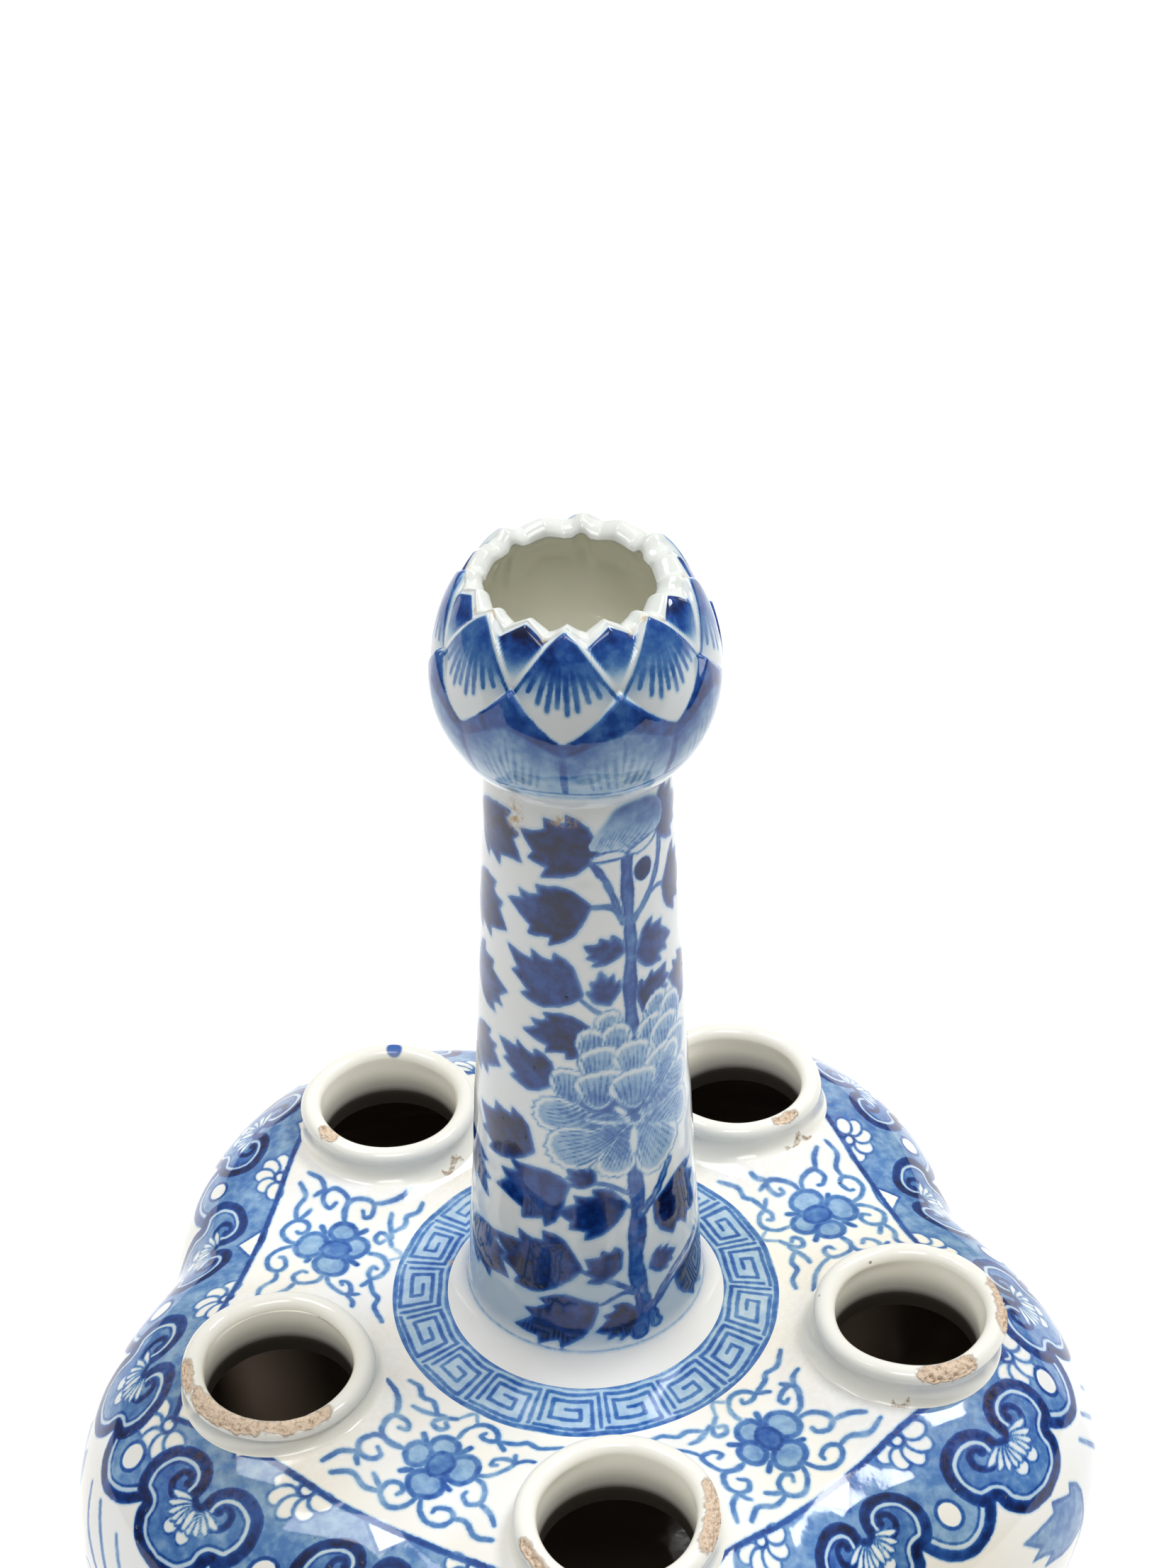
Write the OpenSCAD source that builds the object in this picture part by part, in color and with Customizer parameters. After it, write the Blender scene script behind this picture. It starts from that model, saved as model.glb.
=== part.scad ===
// Five-spout tulip vase in porcelain.
// A hollow body of five lobes stands on a lobed foot ring. Five short spouts
// stand on the lobes, and a tall neck in the middle ends in a lotus-bud mouth.
// Every piece is formed on its own and luted to the next on a flat seat.
// Sizes in millimetres, foot on z = 0, spout 1 towards -Y.

/* [Body] */
// Radius of the body at the middle of a lobe
lobe_r = 99.3; // [93:0.1:110]
// Radius of the body in the crease between two lobes
crease_r = 86.3; // [80:0.1:91]
// How softly the crease is rounded, in degrees around the axis
crease_soft = 5; // [2:0.5:10]
// Height of the flat top of the shoulder
shoulder_z = 88; // [80:0.5:105]
// Height of the widest line, where the two halves are luted
seam_z = 58; // [46:0.5:64]
// Wall of the body
wall = 5; // [4.5:0.1:6.5]
// Squareness of the shoulder over a lobe, outwards
lobe_out = 5.5; // [3:0.1:8]
// Squareness of the shoulder over a lobe, upwards
lobe_up = 1.9; // [1.4:0.1:3]
// Squareness of the shoulder in a crease, outwards
crease_out = 4.8; // [3:0.1:8]
// Squareness of the shoulder in a crease, upwards
crease_up = 1.4; // [1.3:0.1:3]

/* [Foot] */
// Height of the foot ring
foot_h = 12; // [9:0.5:16]
// Radius where the body meets the foot, at a lobe
foot_lobe_r = 62; // [54:0.5:68]
// Radius where the body meets the foot, in a crease
foot_crease_r = 55.5; // [48:0.5:60]
// Thickness of the foot ring where it stands
foot_t = 6.5; // [5:0.1:9]
// How far the foot spreads outwards at the table
foot_spread = 2; // [0.5:0.1:4]
// Thickness of the floor of the body
floor_t = 5.5; // [4.5:0.1:8]

/* [Spouts] */
// Distance of the middle of each spout from the edge of its lobe
spout_inset = 38.1; // [36:0.1:40]
// Inside radius of a spout
spout_bore_r = 13.9; // [11:0.1:14.5]
// Wall of a spout
spout_wall = 3.75; // [3:0.05:4.2]
// Height of the lip above the shoulder
spout_h = 8.6; // [7:0.1:16]
// Width of the fillet of slip around the foot of a spout
spout_fillet = 1.5; // [0.8:0.1:2]
// Depth of the round seat cut into the shoulder
seat_depth = 3; // [2:0.1:3.2]
// Gap left all round between a spout and its seat
seat_gap = 0.3; // [0.2:0.05:0.5]
// How much less the hole in the shoulder is than the bore
throat_ledge = 0.8; // [0.4:0.1:1.5]

/* [Neck] */
// Radius of the neck above its fillet
neck_foot_r = 22.5; // [20:0.1:23.5]
// Radius of the neck under the bud
neck_top_r = 15.65; // [14.8:0.05:17]
// Height of the neck, seat to bud
neck_h = 123; // [95:0.5:140]
// Radius of the bore through the neck
neck_bore_r = 11.2; // [9:0.1:11.4]
// Width and height of the fillet at the foot of the neck
neck_fillet = 5; // [3:0.1:6]
// Outer radius of the painted ring on the shoulder
key_r = 37; // [34:0.5:39]
// Rise of the shoulder inside the painted ring
key_rise = 0.9; // [0.3:0.1:2]

/* [Lotus bud] */
// Radius of the bud
bud_r = 23.5; // [21.5:0.1:26]
// Height of the middle of the bud above the neck
bud_mid = 16.5; // [15.5:0.1:18]
// Wall of the bud at its rim
bud_wall = 3.6; // [3:0.1:4.2]
// Number of petals in each row
petals = 8; // [6:1:10]
// Turn of the petals from the front of the vase
bud_turn = -9.2; // [-22.5:0.1:22.5]
// Angle above the middle of the bud of the petal tips at the mouth
tip_el = 46; // [42:0.5:50]
// Angle above the middle of the bud between two tips
valley_el = 40.5; // [36:0.5:41.5]
// How far the petals stand out in relief
relief = 1; // [0.4:0.1:1.4]

/* [Hidden] */
$fn = 96;
lobe_step = 72;
half = lobe_step / 2;
cols = 90;
petal_cols = petals * 10;
spout_circle_r = lobe_r - spout_inset;
spout_r = spout_bore_r + spout_wall;
spout_seat_r = spout_r - 0.55 + spout_fillet;
throat_r = spout_bore_r - throat_ledge;
neck_z = shoulder_z + key_rise;
bud_z = neck_z + neck_h;
neck_skirt_r = neck_foot_r + neck_fillet * 0.76;
glaze_white = [0.92, 0.93, 0.92];
glaze_blue = [0.45, 0.58, 0.8];
biscuit = [0.86, 0.82, 0.74];

function mix(a, b, w) = a + (b - a) * w;
// Angle from the middle of the nearest lobe, with the crease rounded off.
function lobe_angle(az) = abs((az + 90 + half + 720) % lobe_step - half);
function soft_angle(a) = half - sqrt(pow(half - a, 2) + pow(crease_soft, 2)) + crease_soft;
// 0 on the middle of a lobe, 1 in a crease: the dip of a circle through the axis.
function dip(az) = (1 - cos(soft_angle(lobe_angle(az)))) / (1 - cos(half));
function ring_pt(r, az, z) = [r * cos(az), r * sin(az), z];
function col_az(j, n) = -90 + j * 360 / n;

// The shoulder is a squared-off quarter oval that sweeps from the painted ring
// (a = 0) down to the widest line (a = 90); t is the wall to take off inside.
function shoulder_r(a, rim, sq) = key_r + (rim - key_r) * pow(sin(a), 2 / sq);
function shoulder_pt(a, az, t) =
    let(w = dip(az))
    let(r_lobe = shoulder_r(a, lobe_r - t, lobe_out))
    let(r_crease = shoulder_r(a, crease_r - t, crease_out))
    let(up = mix(pow(cos(a), 2 / lobe_up), pow(cos(a), 2 / crease_up), w))
    ring_pt(mix(r_lobe, r_crease, w), az, seam_z + (shoulder_z - t - seam_z) * up);

// The lower half is a quarter oval from the widest line (a = 0) to the foot (a = 90).
function bowl_r(a, rim, base) = base + (rim - base) * pow(cos(a), 1.15);
function bowl_pt(a, az, t, lift) =
    let(w = dip(az))
    let(r_lobe = bowl_r(a, lobe_r - t, foot_lobe_r - t))
    let(r_crease = bowl_r(a, crease_r - t, foot_crease_r - t))
    ring_pt(mix(r_lobe, r_crease, w), az, seam_z - (seam_z - foot_h - lift) * sin(a));

function foot_pt(grow, az, z) =
    ring_pt(mix(foot_lobe_r, foot_crease_r, dip(az)) + grow, az, z);

// Side faces between closed rows of n points; ring = true also joins last row to first.
function row_faces(rows, n, first, ring) = [
    for (i = [0 : rows - (ring ? 1 : 2)], j = [0 : n - 1], k = [0, 1])
        let(a = first + i * n + j)
        let(b = first + i * n + (j + 1) % n)
        let(c = first + ((i + 1) % rows) * n + j)
        let(d = first + ((i + 1) % rows) * n + (j + 1) % n)
        k == 0 ? [a, c, d] : [a, d, b]];

module ring_solid(rows) {
    n = len(rows[0]);
    polyhedron(
        points = [for (r = rows) each r],
        faces = row_faces(len(rows), n, 0, true));
}

// Rows run from a pole under the piece, over the outside, to a pole inside it.
module bowl_solid(low, rows, high) {
    n = len(rows[0]);
    m = len(rows);
    last = m * n;
    polyhedron(
        points = [for (r = rows) each r, low, high],
        faces = concat(
            row_faces(m, n, 0, false),
            [for (j = [0 : n - 1]) [last, j, (j + 1) % n]],
            [for (j = [0 : n - 1]) [last + 1, (m - 1) * n + (j + 1) % n, (m - 1) * n + j]]));
}

// The ring is swept a little past the table plane and ground off flat there.
module foot_ring() {
    inset = 1;
    spare = 2;
    edge = lobe_r + foot_spread;
    profile = [
        [0.6 * foot_spread, -spare],
        [foot_spread, 0.8],
        [foot_spread * 0.9, 1.8],
        [-0.2, foot_h * 0.4],
        [-inset - 0.6, foot_h * 0.75],
        [-inset, foot_h],
        [-foot_t - inset - 0.8, foot_h],
        [-foot_t - 0.5, foot_h * 0.5],
        [0.6 * foot_spread - foot_t, -spare]];
    color(biscuit) difference() {
        ring_solid([
            for (p = profile) [for (j = [0 : cols - 1]) foot_pt(p[0], col_az(j, cols), p[1])]]);
        translate([-edge, -edge, -2 * spare]) cube([2 * edge, 2 * edge, 2 * spare]);
    }
}

module lower_body() {
    outside = [for (i = [0 : 10]) 90 * (1 - i / 10)];
    inside = [for (i = [0 : 7]) 90 * i / 7];
    az = [for (j = [0 : cols - 1]) col_az(j, cols)];
    color(glaze_white) bowl_solid(
        [0, 0, foot_h],
        concat(
            [for (a = outside) [for (t = az) bowl_pt(a, t, 0, 0)]],
            [for (a = inside) [for (t = az) bowl_pt(a, t, wall, floor_t)]]),
        [0, 0, foot_h + floor_t]);
}

module shoulder_shell() {
    outside = [for (i = [0 : 14]) 90 * pow(1 - i / 14, 1.5)];
    inside = [for (i = [0 : 8]) 90 * pow(i / 8, 1.5)];
    az = [for (j = [0 : cols - 1]) col_az(j, cols)];
    core = neck_bore_r - 3;
    ring_solid(concat(
        [for (a = outside) [for (t = az) shoulder_pt(a, t, 0)]],
        [[for (t = az) ring_pt(neck_skirt_r + 0.5, t, neck_z)]],
        [[for (t = az) ring_pt(core, t, neck_z)]],
        [[for (t = az) ring_pt(core, t, shoulder_z - wall)]],
        [for (a = inside) [for (t = az) shoulder_pt(a, t, wall)]]));
}

module at_spout(k) {
    rotate([0, 0, -90 + lobe_step * (k - 1)]) translate([spout_circle_r, 0, 0]) children();
}

module shoulder() {
    color(glaze_blue) difference() {
        shoulder_shell();
        translate([0, 0, shoulder_z - wall - 1])
            cylinder(r = neck_bore_r - throat_ledge, h = wall + key_rise + 2);
        for (k = [1 : 5]) at_spout(k) rotate([0, 0, 7]) {
            translate([0, 0, shoulder_z - 3 * wall])
                cylinder(r = throat_r, h = 3 * wall + 2);
            translate([0, 0, shoulder_z - seat_depth])
                cylinder(r = spout_seat_r + seat_gap, h = seat_depth + 2);
        }
    }
}

// A thrown ring: straight bore, rounded lip, slightly waisted wall and a fillet at its foot.
module spout() {
    lip = spout_wall / 2;
    waist = spout_r - 0.55;
    lip_pts = [for (i = [0 : 12])
        [spout_r - lip + lip * cos(15 * i), spout_h - lip * 0.95 + lip * 0.95 * sin(15 * i)]];
    fillet_pts = [for (i = [0 : 6])
        [waist + spout_fillet * (1 - sin(15 * i)), 2 * spout_fillet * (1 - cos(15 * i)) - 0.4]];
    translate([0, 0, shoulder_z]) rotate_extrude() polygon(concat(
        [[spout_bore_r, -seat_depth], [spout_seat_r, -seat_depth]],
        fillet_pts,
        lip_pts));
}

module spout_1() { color(glaze_white) at_spout(1) spout(); }
module spout_2() { color(glaze_white) at_spout(2) spout(); }
module spout_3() { color(glaze_white) at_spout(3) spout(); }
module spout_4() { color(glaze_white) at_spout(4) spout(); }
module spout_5() { color(glaze_white) at_spout(5) spout(); }

// The neck tapers in a slight hollow curve and sweeps out into a fillet on the shoulder.
function neck_wall_r(v) = mix(neck_top_r, neck_foot_r, pow(1 - v, 1.12));
module neck() {
    skirt = [for (i = [0 : 8])
        let(v = i / 8)
        [neck_wall_r(0) + (neck_skirt_r - neck_foot_r) * pow(1 - v, 2.2) - 0.4 * v,
            0.6 + neck_fillet * 1.5 * v]];
    start = (0.6 + neck_fillet * 1.5) / neck_h;
    side = [for (i = [1 : 18])
        let(v = mix(start, 1, i / 18))
        [neck_wall_r(v), v * neck_h]];
    color(glaze_white) translate([0, 0, neck_z]) rotate_extrude() polygon(concat(
        [[neck_bore_r, 0], [neck_skirt_r, 0]],
        skirt,
        side,
        [[neck_bore_r, neck_h]]));
}

// Petals: s is 0 on the middle of an upper petal and 1 on the middle of a lower one.
function petal_s(j) = abs((j + 5) % 10 - 5) / 5;
function bud_az(j) = -90 + bud_turn + j * 360 / petal_cols;
function ball_pt(r, az, el) = ring_pt(r * cos(el), az, bud_z + bud_mid + r * sin(el));
base_el = -asin(bud_mid / bud_r);
floor_el = -asin((bud_mid - 3.5) / (bud_r - bud_wall));
function meet_el(s) = 0.6 + 18 * pow(s, 1.5);
function mouth_el(s) = valley_el + (tip_el - valley_el) * (1 - pow(s, 1.3));
function lower_petal(v, j) =
    let(s = petal_s(j))
    let(el = mix(base_el, meet_el(s), v))
    ball_pt(bud_r + relief * v * (0.2 + 0.8 * s), bud_az(j), el);
function upper_petal(v, j) =
    let(s = petal_s(j))
    let(el = mix(meet_el(s), mouth_el(s), v))
    ball_pt(bud_r + relief * (0.3 - 0.9 * s * s) - 0.5 * relief, bud_az(j), el);
function bud_inside(v, j) =
    ball_pt(bud_r - bud_wall, bud_az(j), mix(mouth_el(petal_s(j)) + 3, floor_el, v));

module lotus_bud() {
    js = [for (j = [0 : petal_cols - 1]) j];
    core = neck_bore_r - 2;
    color(glaze_white) difference() {
        ring_solid(concat(
            [[for (j = js) ring_pt(core, bud_az(j), bud_z)]],
            [for (i = [0 : 6]) [for (j = js) lower_petal(i / 6, j)]],
            [for (i = [0 : 6]) [for (j = js) upper_petal(i / 6, j)]],
            [for (i = [0 : 6]) [for (j = js) bud_inside(i / 6, j)]],
            [[for (j = js) ring_pt(core, bud_az(j), bud_z + 3.5)]]));
        translate([0, 0, bud_z - 1]) cylinder(r = neck_bore_r + 0.6, h = 4.5);
    }
}

foot_ring();
lower_body();
shoulder();
spout_1();
spout_2();
spout_3();
spout_4();
spout_5();
neck();
lotus_bud();
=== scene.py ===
"""Five-spout tulip vase: porcelain pieces painted in cobalt under a clear glaze.

Lengths are in millimetres until a mesh is made. Angles are in degrees round the axis of
the vase, with lobe 1 at -90, towards the viewer. Every piece is a grid of points worked
out as whole arrays, and the painting is kept per vertex as distances to brush lines.
"""
import math

import bpy
import numpy as np
from mathutils import Matrix, Vector


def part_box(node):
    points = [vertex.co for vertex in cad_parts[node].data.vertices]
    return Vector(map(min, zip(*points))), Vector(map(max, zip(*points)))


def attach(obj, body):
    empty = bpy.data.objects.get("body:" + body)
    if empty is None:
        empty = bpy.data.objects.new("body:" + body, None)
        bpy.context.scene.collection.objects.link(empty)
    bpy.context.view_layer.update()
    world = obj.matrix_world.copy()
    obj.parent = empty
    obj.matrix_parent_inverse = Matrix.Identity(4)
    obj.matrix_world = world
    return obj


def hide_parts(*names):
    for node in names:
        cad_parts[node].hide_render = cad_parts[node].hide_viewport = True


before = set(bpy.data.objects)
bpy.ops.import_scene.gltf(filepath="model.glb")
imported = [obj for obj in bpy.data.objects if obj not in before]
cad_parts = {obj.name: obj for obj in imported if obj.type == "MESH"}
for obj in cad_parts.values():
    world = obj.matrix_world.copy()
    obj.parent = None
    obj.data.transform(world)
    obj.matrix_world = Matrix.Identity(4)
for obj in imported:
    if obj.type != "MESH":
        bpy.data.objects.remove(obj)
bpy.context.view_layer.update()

# Sizes of the vase
MM = 0.001
TINY = 1e-9


def node_mm(node):
    """Lowest and highest corner of a fired piece, in millimetres."""
    low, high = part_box(node)
    return np.array(low) / MM, np.array(high) / MM


# Heights of the seats between the pieces
FOOT_H = node_mm("foot_ring")[1][2]
SEAM_Z = node_mm("lower_body")[1][2]
NECK_Z = node_mm("neck")[0][2]
BUD_Z = node_mm("lotus_bud")[0][2]
KEY_RISE = 0.9
SHOULDER_Z = NECK_Z - KEY_RISE

# Body: radii at lobe and crease, squareness of its ovals, and how much fuller than regular it is
LOBES = 5
LOBE_STEP = 360.0 / LOBES
HALF = LOBE_STEP / 2
FRONT_AZ = -90.0
LOBE_R, CREASE_R, CREASE_SOFT = 99.3, 86.3, 5.0
LOBE_OUT, LOBE_UP = 5.5, 1.9
CREASE_OUT, CREASE_UP = 4.8, 1.4
FULL_ALL, FULL_LEFT, FULL_AZ = 0.5, 2.2, 140.0
BOWL_ROUND = 1.15
WALL, FLOOR_T = 5.0, 5.5
KEY_R = 37.0
MOUND_H, MOUND_R, MOUND_END_R, MOUND_RUN = 2.3, 17.5, 31.0, 10.0
FOOT_LOBE_R, FOOT_CREASE_R = 62.0, 55.5
FOOT_SPREAD, FOOT_T, FOOT_INSET = 2.0, 6.5, 1.0
HALVINGS = 44

# Spouts, neck and bud
SPOUT_CIRCLE_R, HOLE_R = 61.2, 15.5
SPOUT_BORE_R, SPOUT_WALL, SPOUT_H = 13.8, 4.15, 8.6
SPOUT_FILLET, SPOUT_FOOT_R, SPOUT_FOOT_LEAN, SPOUT_WAIST = 3.0, 19.2, 1.0, 0.6
NECK_FOOT_R, NECK_TOP_R, NECK_BORE_R, NECK_HOLLOW = 22.5, 15.65, 11.2, 1.12
NECK_SKIRT_R, SKIRT_H, SKIRT_SWEEP = 26.3, 8.1, 2.4
BUD_R, BUD_MID, BUD_WALL = 23.5, 16.5, 3.6
BUD_LIP = [(0.0, 0.0), (-0.3, 0.35), (-0.9, 0.4), (-1.9, 0.05), (-2.7, -0.7), (-3.0, -1.6)]
BUD_CUP, BUD_LIP_EXTRA = 1.3, 1.5
PETALS = 8
BUD_TURN = -9.2
VIEW_AZ = -94.67


# Shapes
def rise(low, high, x):
    """Smooth step: 0 below low, 1 above high, with level ends; low may be above high."""
    t = np.clip((x - low) / (high - low), 0, 1)
    return t * t * (3 - 2 * t)


def mix(a, b, w):
    """The value a share w of the way from a to b."""
    return a + (b - a) * w


def lobe_angle(az):
    """Angle from the middle of the nearest lobe, up to half a lobe either way."""
    return (az - FRONT_AZ + HALF + 720) % LOBE_STEP - HALF


def angle_from(middle, az):
    """Angle from a middle to az, the short way round."""
    return (az - middle + 180) % 360 - 180


def all_round(columns):
    """Angles of the columns of a piece that goes once round the vase."""
    return np.linspace(FRONT_AZ, FRONT_AZ + 360, columns, endpoint=False)


def polar(x, y):
    """Radius and angle of points of the plan."""
    return np.hypot(x, y), np.degrees(np.arctan2(y, x))


def sway(*waves):
    """Unsteadiness of a hand: a sum of waves, each given as its size and its phase."""
    return sum(size * np.sin(phase) for size, phase in waves)


def dip(az):
    """0 on the middle of a lobe, 1 in a crease: the dip of a circle through the axis, crease rounded."""
    a = np.abs(lobe_angle(az))
    soft = HALF - np.hypot(HALF - a, CREASE_SOFT) + CREASE_SOFT
    return (1 - np.cos(np.radians(soft))) / (1 - math.cos(math.radians(HALF)))


def turned(r, az, z):
    """Points at radius r, angle az and height z."""
    r, az, z = np.broadcast_arrays(r, np.radians(az), z)
    return np.stack([r * np.cos(az), r * np.sin(az), z], -1)


def fuller(az):
    """How far the hand-made body stands out past a regular form, most at its left and back."""
    return FULL_ALL + FULL_LEFT * (1 + np.cos(np.radians(az - FULL_AZ))) / 2


def shoulder_at(a, az, t=0.0):
    """Squared-off quarter oval from the painted ring (a = 0) to the widest line (a = 90), t inside it."""
    w = dip(az)
    out = np.sin(np.radians(a))
    up = np.maximum(np.cos(np.radians(a)), 0)
    reach = fuller(az) - t - KEY_R
    r_lobe = KEY_R + (LOBE_R + reach) * out ** (2 / LOBE_OUT)
    r_crease = KEY_R + (CREASE_R + reach) * out ** (2 / CREASE_OUT)
    height = mix(up ** (2 / LOBE_UP), up ** (2 / CREASE_UP), w)
    return turned(mix(r_lobe, r_crease, w), az, SEAM_Z + (SHOULDER_Z - t - SEAM_Z) * height)


def mound(x, y):
    """Low rise of the shoulder round each spout, gone at the creases and at the painted ring."""
    r, az = polar(x, y)
    phi = np.radians(lobe_angle(az))
    away = np.hypot(r * np.cos(phi) - SPOUT_CIRCLE_R, r * np.sin(phi))
    return MOUND_H * rise(MOUND_END_R, MOUND_R, away) * rise(KEY_R, KEY_R + MOUND_RUN, r)


def shoulder_top(x, y):
    """Height of the shoulder over a point of the plan; the angle a is found by halving its range."""
    r, az = polar(x, y)
    low, high = np.zeros_like(r), np.full_like(r, 90.0)
    for _ in range(HALVINGS):
        a = (low + high) / 2
        p = shoulder_at(a, az)
        short = np.hypot(p[..., 0], p[..., 1]) < r
        low, high = np.where(short, a, low), np.where(short, high, a)
    return shoulder_at(low, az)[..., 2] + mound(x, y)


def bowl_at(a, az, t=0.0, lift=0.0):
    """Quarter oval from the widest line (a = 0) to the foot (a = 90), t inside it and its end lifted."""
    out = np.maximum(np.cos(np.radians(a)), 0) ** BOWL_ROUND
    r_lobe = FOOT_LOBE_R - t + (LOBE_R + fuller(az) - FOOT_LOBE_R) * out
    r_crease = FOOT_CREASE_R - t + (CREASE_R + fuller(az) - FOOT_CREASE_R) * out
    z = SEAM_Z - (SEAM_Z - FOOT_H - lift) * np.sin(np.radians(a))
    return turned(mix(r_lobe, r_crease, dip(az)), az, z)


def even_steps(at, a, rows):
    """Values of a that cut the middle line of a lobe into equal lengths, and the lengths from its start."""
    line = at(a, np.full_like(a, FRONT_AZ))
    length = np.concatenate([[0], np.cumsum(np.linalg.norm(np.diff(line, axis=0), axis=1))])
    wanted = np.linspace(0, length[-1], rows)
    return np.interp(wanted, length, a), wanted


def neck_r(z):
    """Radius of the neck: a slightly hollow taper, with a fillet that sweeps out at the shoulder."""
    v = np.clip((z - NECK_Z) / (BUD_Z - NECK_Z), 0, 1)
    taper = NECK_TOP_R + (NECK_FOOT_R - NECK_TOP_R) * (1 - v) ** NECK_HOLLOW
    skirt = np.clip(1 - (z - NECK_Z) / SKIRT_H, 0, 1)
    return taper + (NECK_SKIRT_R - NECK_FOOT_R) * skirt ** SKIRT_SWEEP


# Brush lines as distances
FAR = 5.0
NEAR = 2.0
BARE = {"ink": FAR, "ink_tone": 0.6, "wash": 0.0, "white": FAR}
LEAF_ROUND, LEAF_BEND = 0.3, 0.06
LEAF_EDGE, LEAF_PALER, LEAF_HALO = 1.1, 0.3, 0.2
LEAF_UPPER = [
    (0.0, 0.02), (0.08, 0.17), (0.20, 0.33), (0.36, 0.44), (0.50, 0.47), (0.62, 0.50), (0.58, 0.34),
    (0.70, 0.31), (0.83, 0.32), (0.78, 0.17), (0.89, 0.09), (1.0, 0.0)]
LEAF_LOWER = [
    (0.0, 0.02), (0.10, 0.24), (0.20, 0.43), (0.32, 0.53), (0.46, 0.56), (0.44, 0.41), (0.57, 0.39),
    (0.72, 0.40), (0.68, 0.24), (0.83, 0.13), (1.0, 0.0)]
PETAL_LINE, PETAL_RIB = 0.28, 0.68
PETAL_WIDEST, PETAL_ARCH, SCALLOP_DEEP, SCALLOP_POINTS = 0.6, 2.6, 0.035, 8


def curve(points, steps=8):
    """Smooth line through given points: Catmull-Rom, each stretch a cubic set by four points."""
    p = np.asarray(points, float)
    p = np.vstack([2 * p[0] - p[1], p, 2 * p[-1] - p[-2]])
    t = np.linspace(0, 1, steps, endpoint=False)[:, None, None]
    a, b, c, d = p[:-3], p[1:-2], p[2:-1], p[3:]
    q = 0.5 * (2 * b + (c - a) * t + (2 * a - 5 * b + 4 * c - d) * t**2 + (3 * b - a - 3 * c + d) * t**3)
    return np.vstack([q.transpose(1, 0, 2).reshape(-1, 2), p[-2]])


def oval(x, y, rx, ry, turn=0.0, points=28):
    """Closed ring of points on an ellipse."""
    t = np.linspace(0, 2 * np.pi, points, endpoint=False)
    c, s = math.cos(math.radians(turn)), math.sin(math.radians(turn))
    u, v = rx * np.cos(t), ry * np.sin(t)
    return np.stack([x + u * c - v * s, y + u * s + v * c], -1)


def distance(x, y, path):
    """Distance of each point to the nearest stretch of a path, and how far along it that is, 0 to 1."""
    start, step = path[:-1], np.diff(path, axis=0)
    length = np.hypot(*step.T) + TINY
    px, py = x[:, None] - start[:, 0], y[:, None] - start[:, 1]
    t = np.clip((px * step[:, 0] + py * step[:, 1]) / length**2, 0, 1)
    gap = np.hypot(px - t * step[:, 0], py - t * step[:, 1])
    best = gap.argmin(1)
    row = np.arange(len(x))
    before = np.concatenate([[0], np.cumsum(length)])
    return gap[row, best], (before[best] + t[row, best] * length[best]) / before[-1]


def within(x, y, ring):
    """True for points inside a closed ring, by counting how often a line to the right crosses it."""
    ax, ay = ring.T
    bx, by = np.roll(ring, -1, 0).T
    crossed = (ay > y[:, None]) != (by > y[:, None])
    where = ax + (y[:, None] - ay) * (bx - ax) / np.where(by == ay, TINY, by - ay)
    return (crossed & (x[:, None] < where)).sum(1) % 2 == 1


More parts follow.
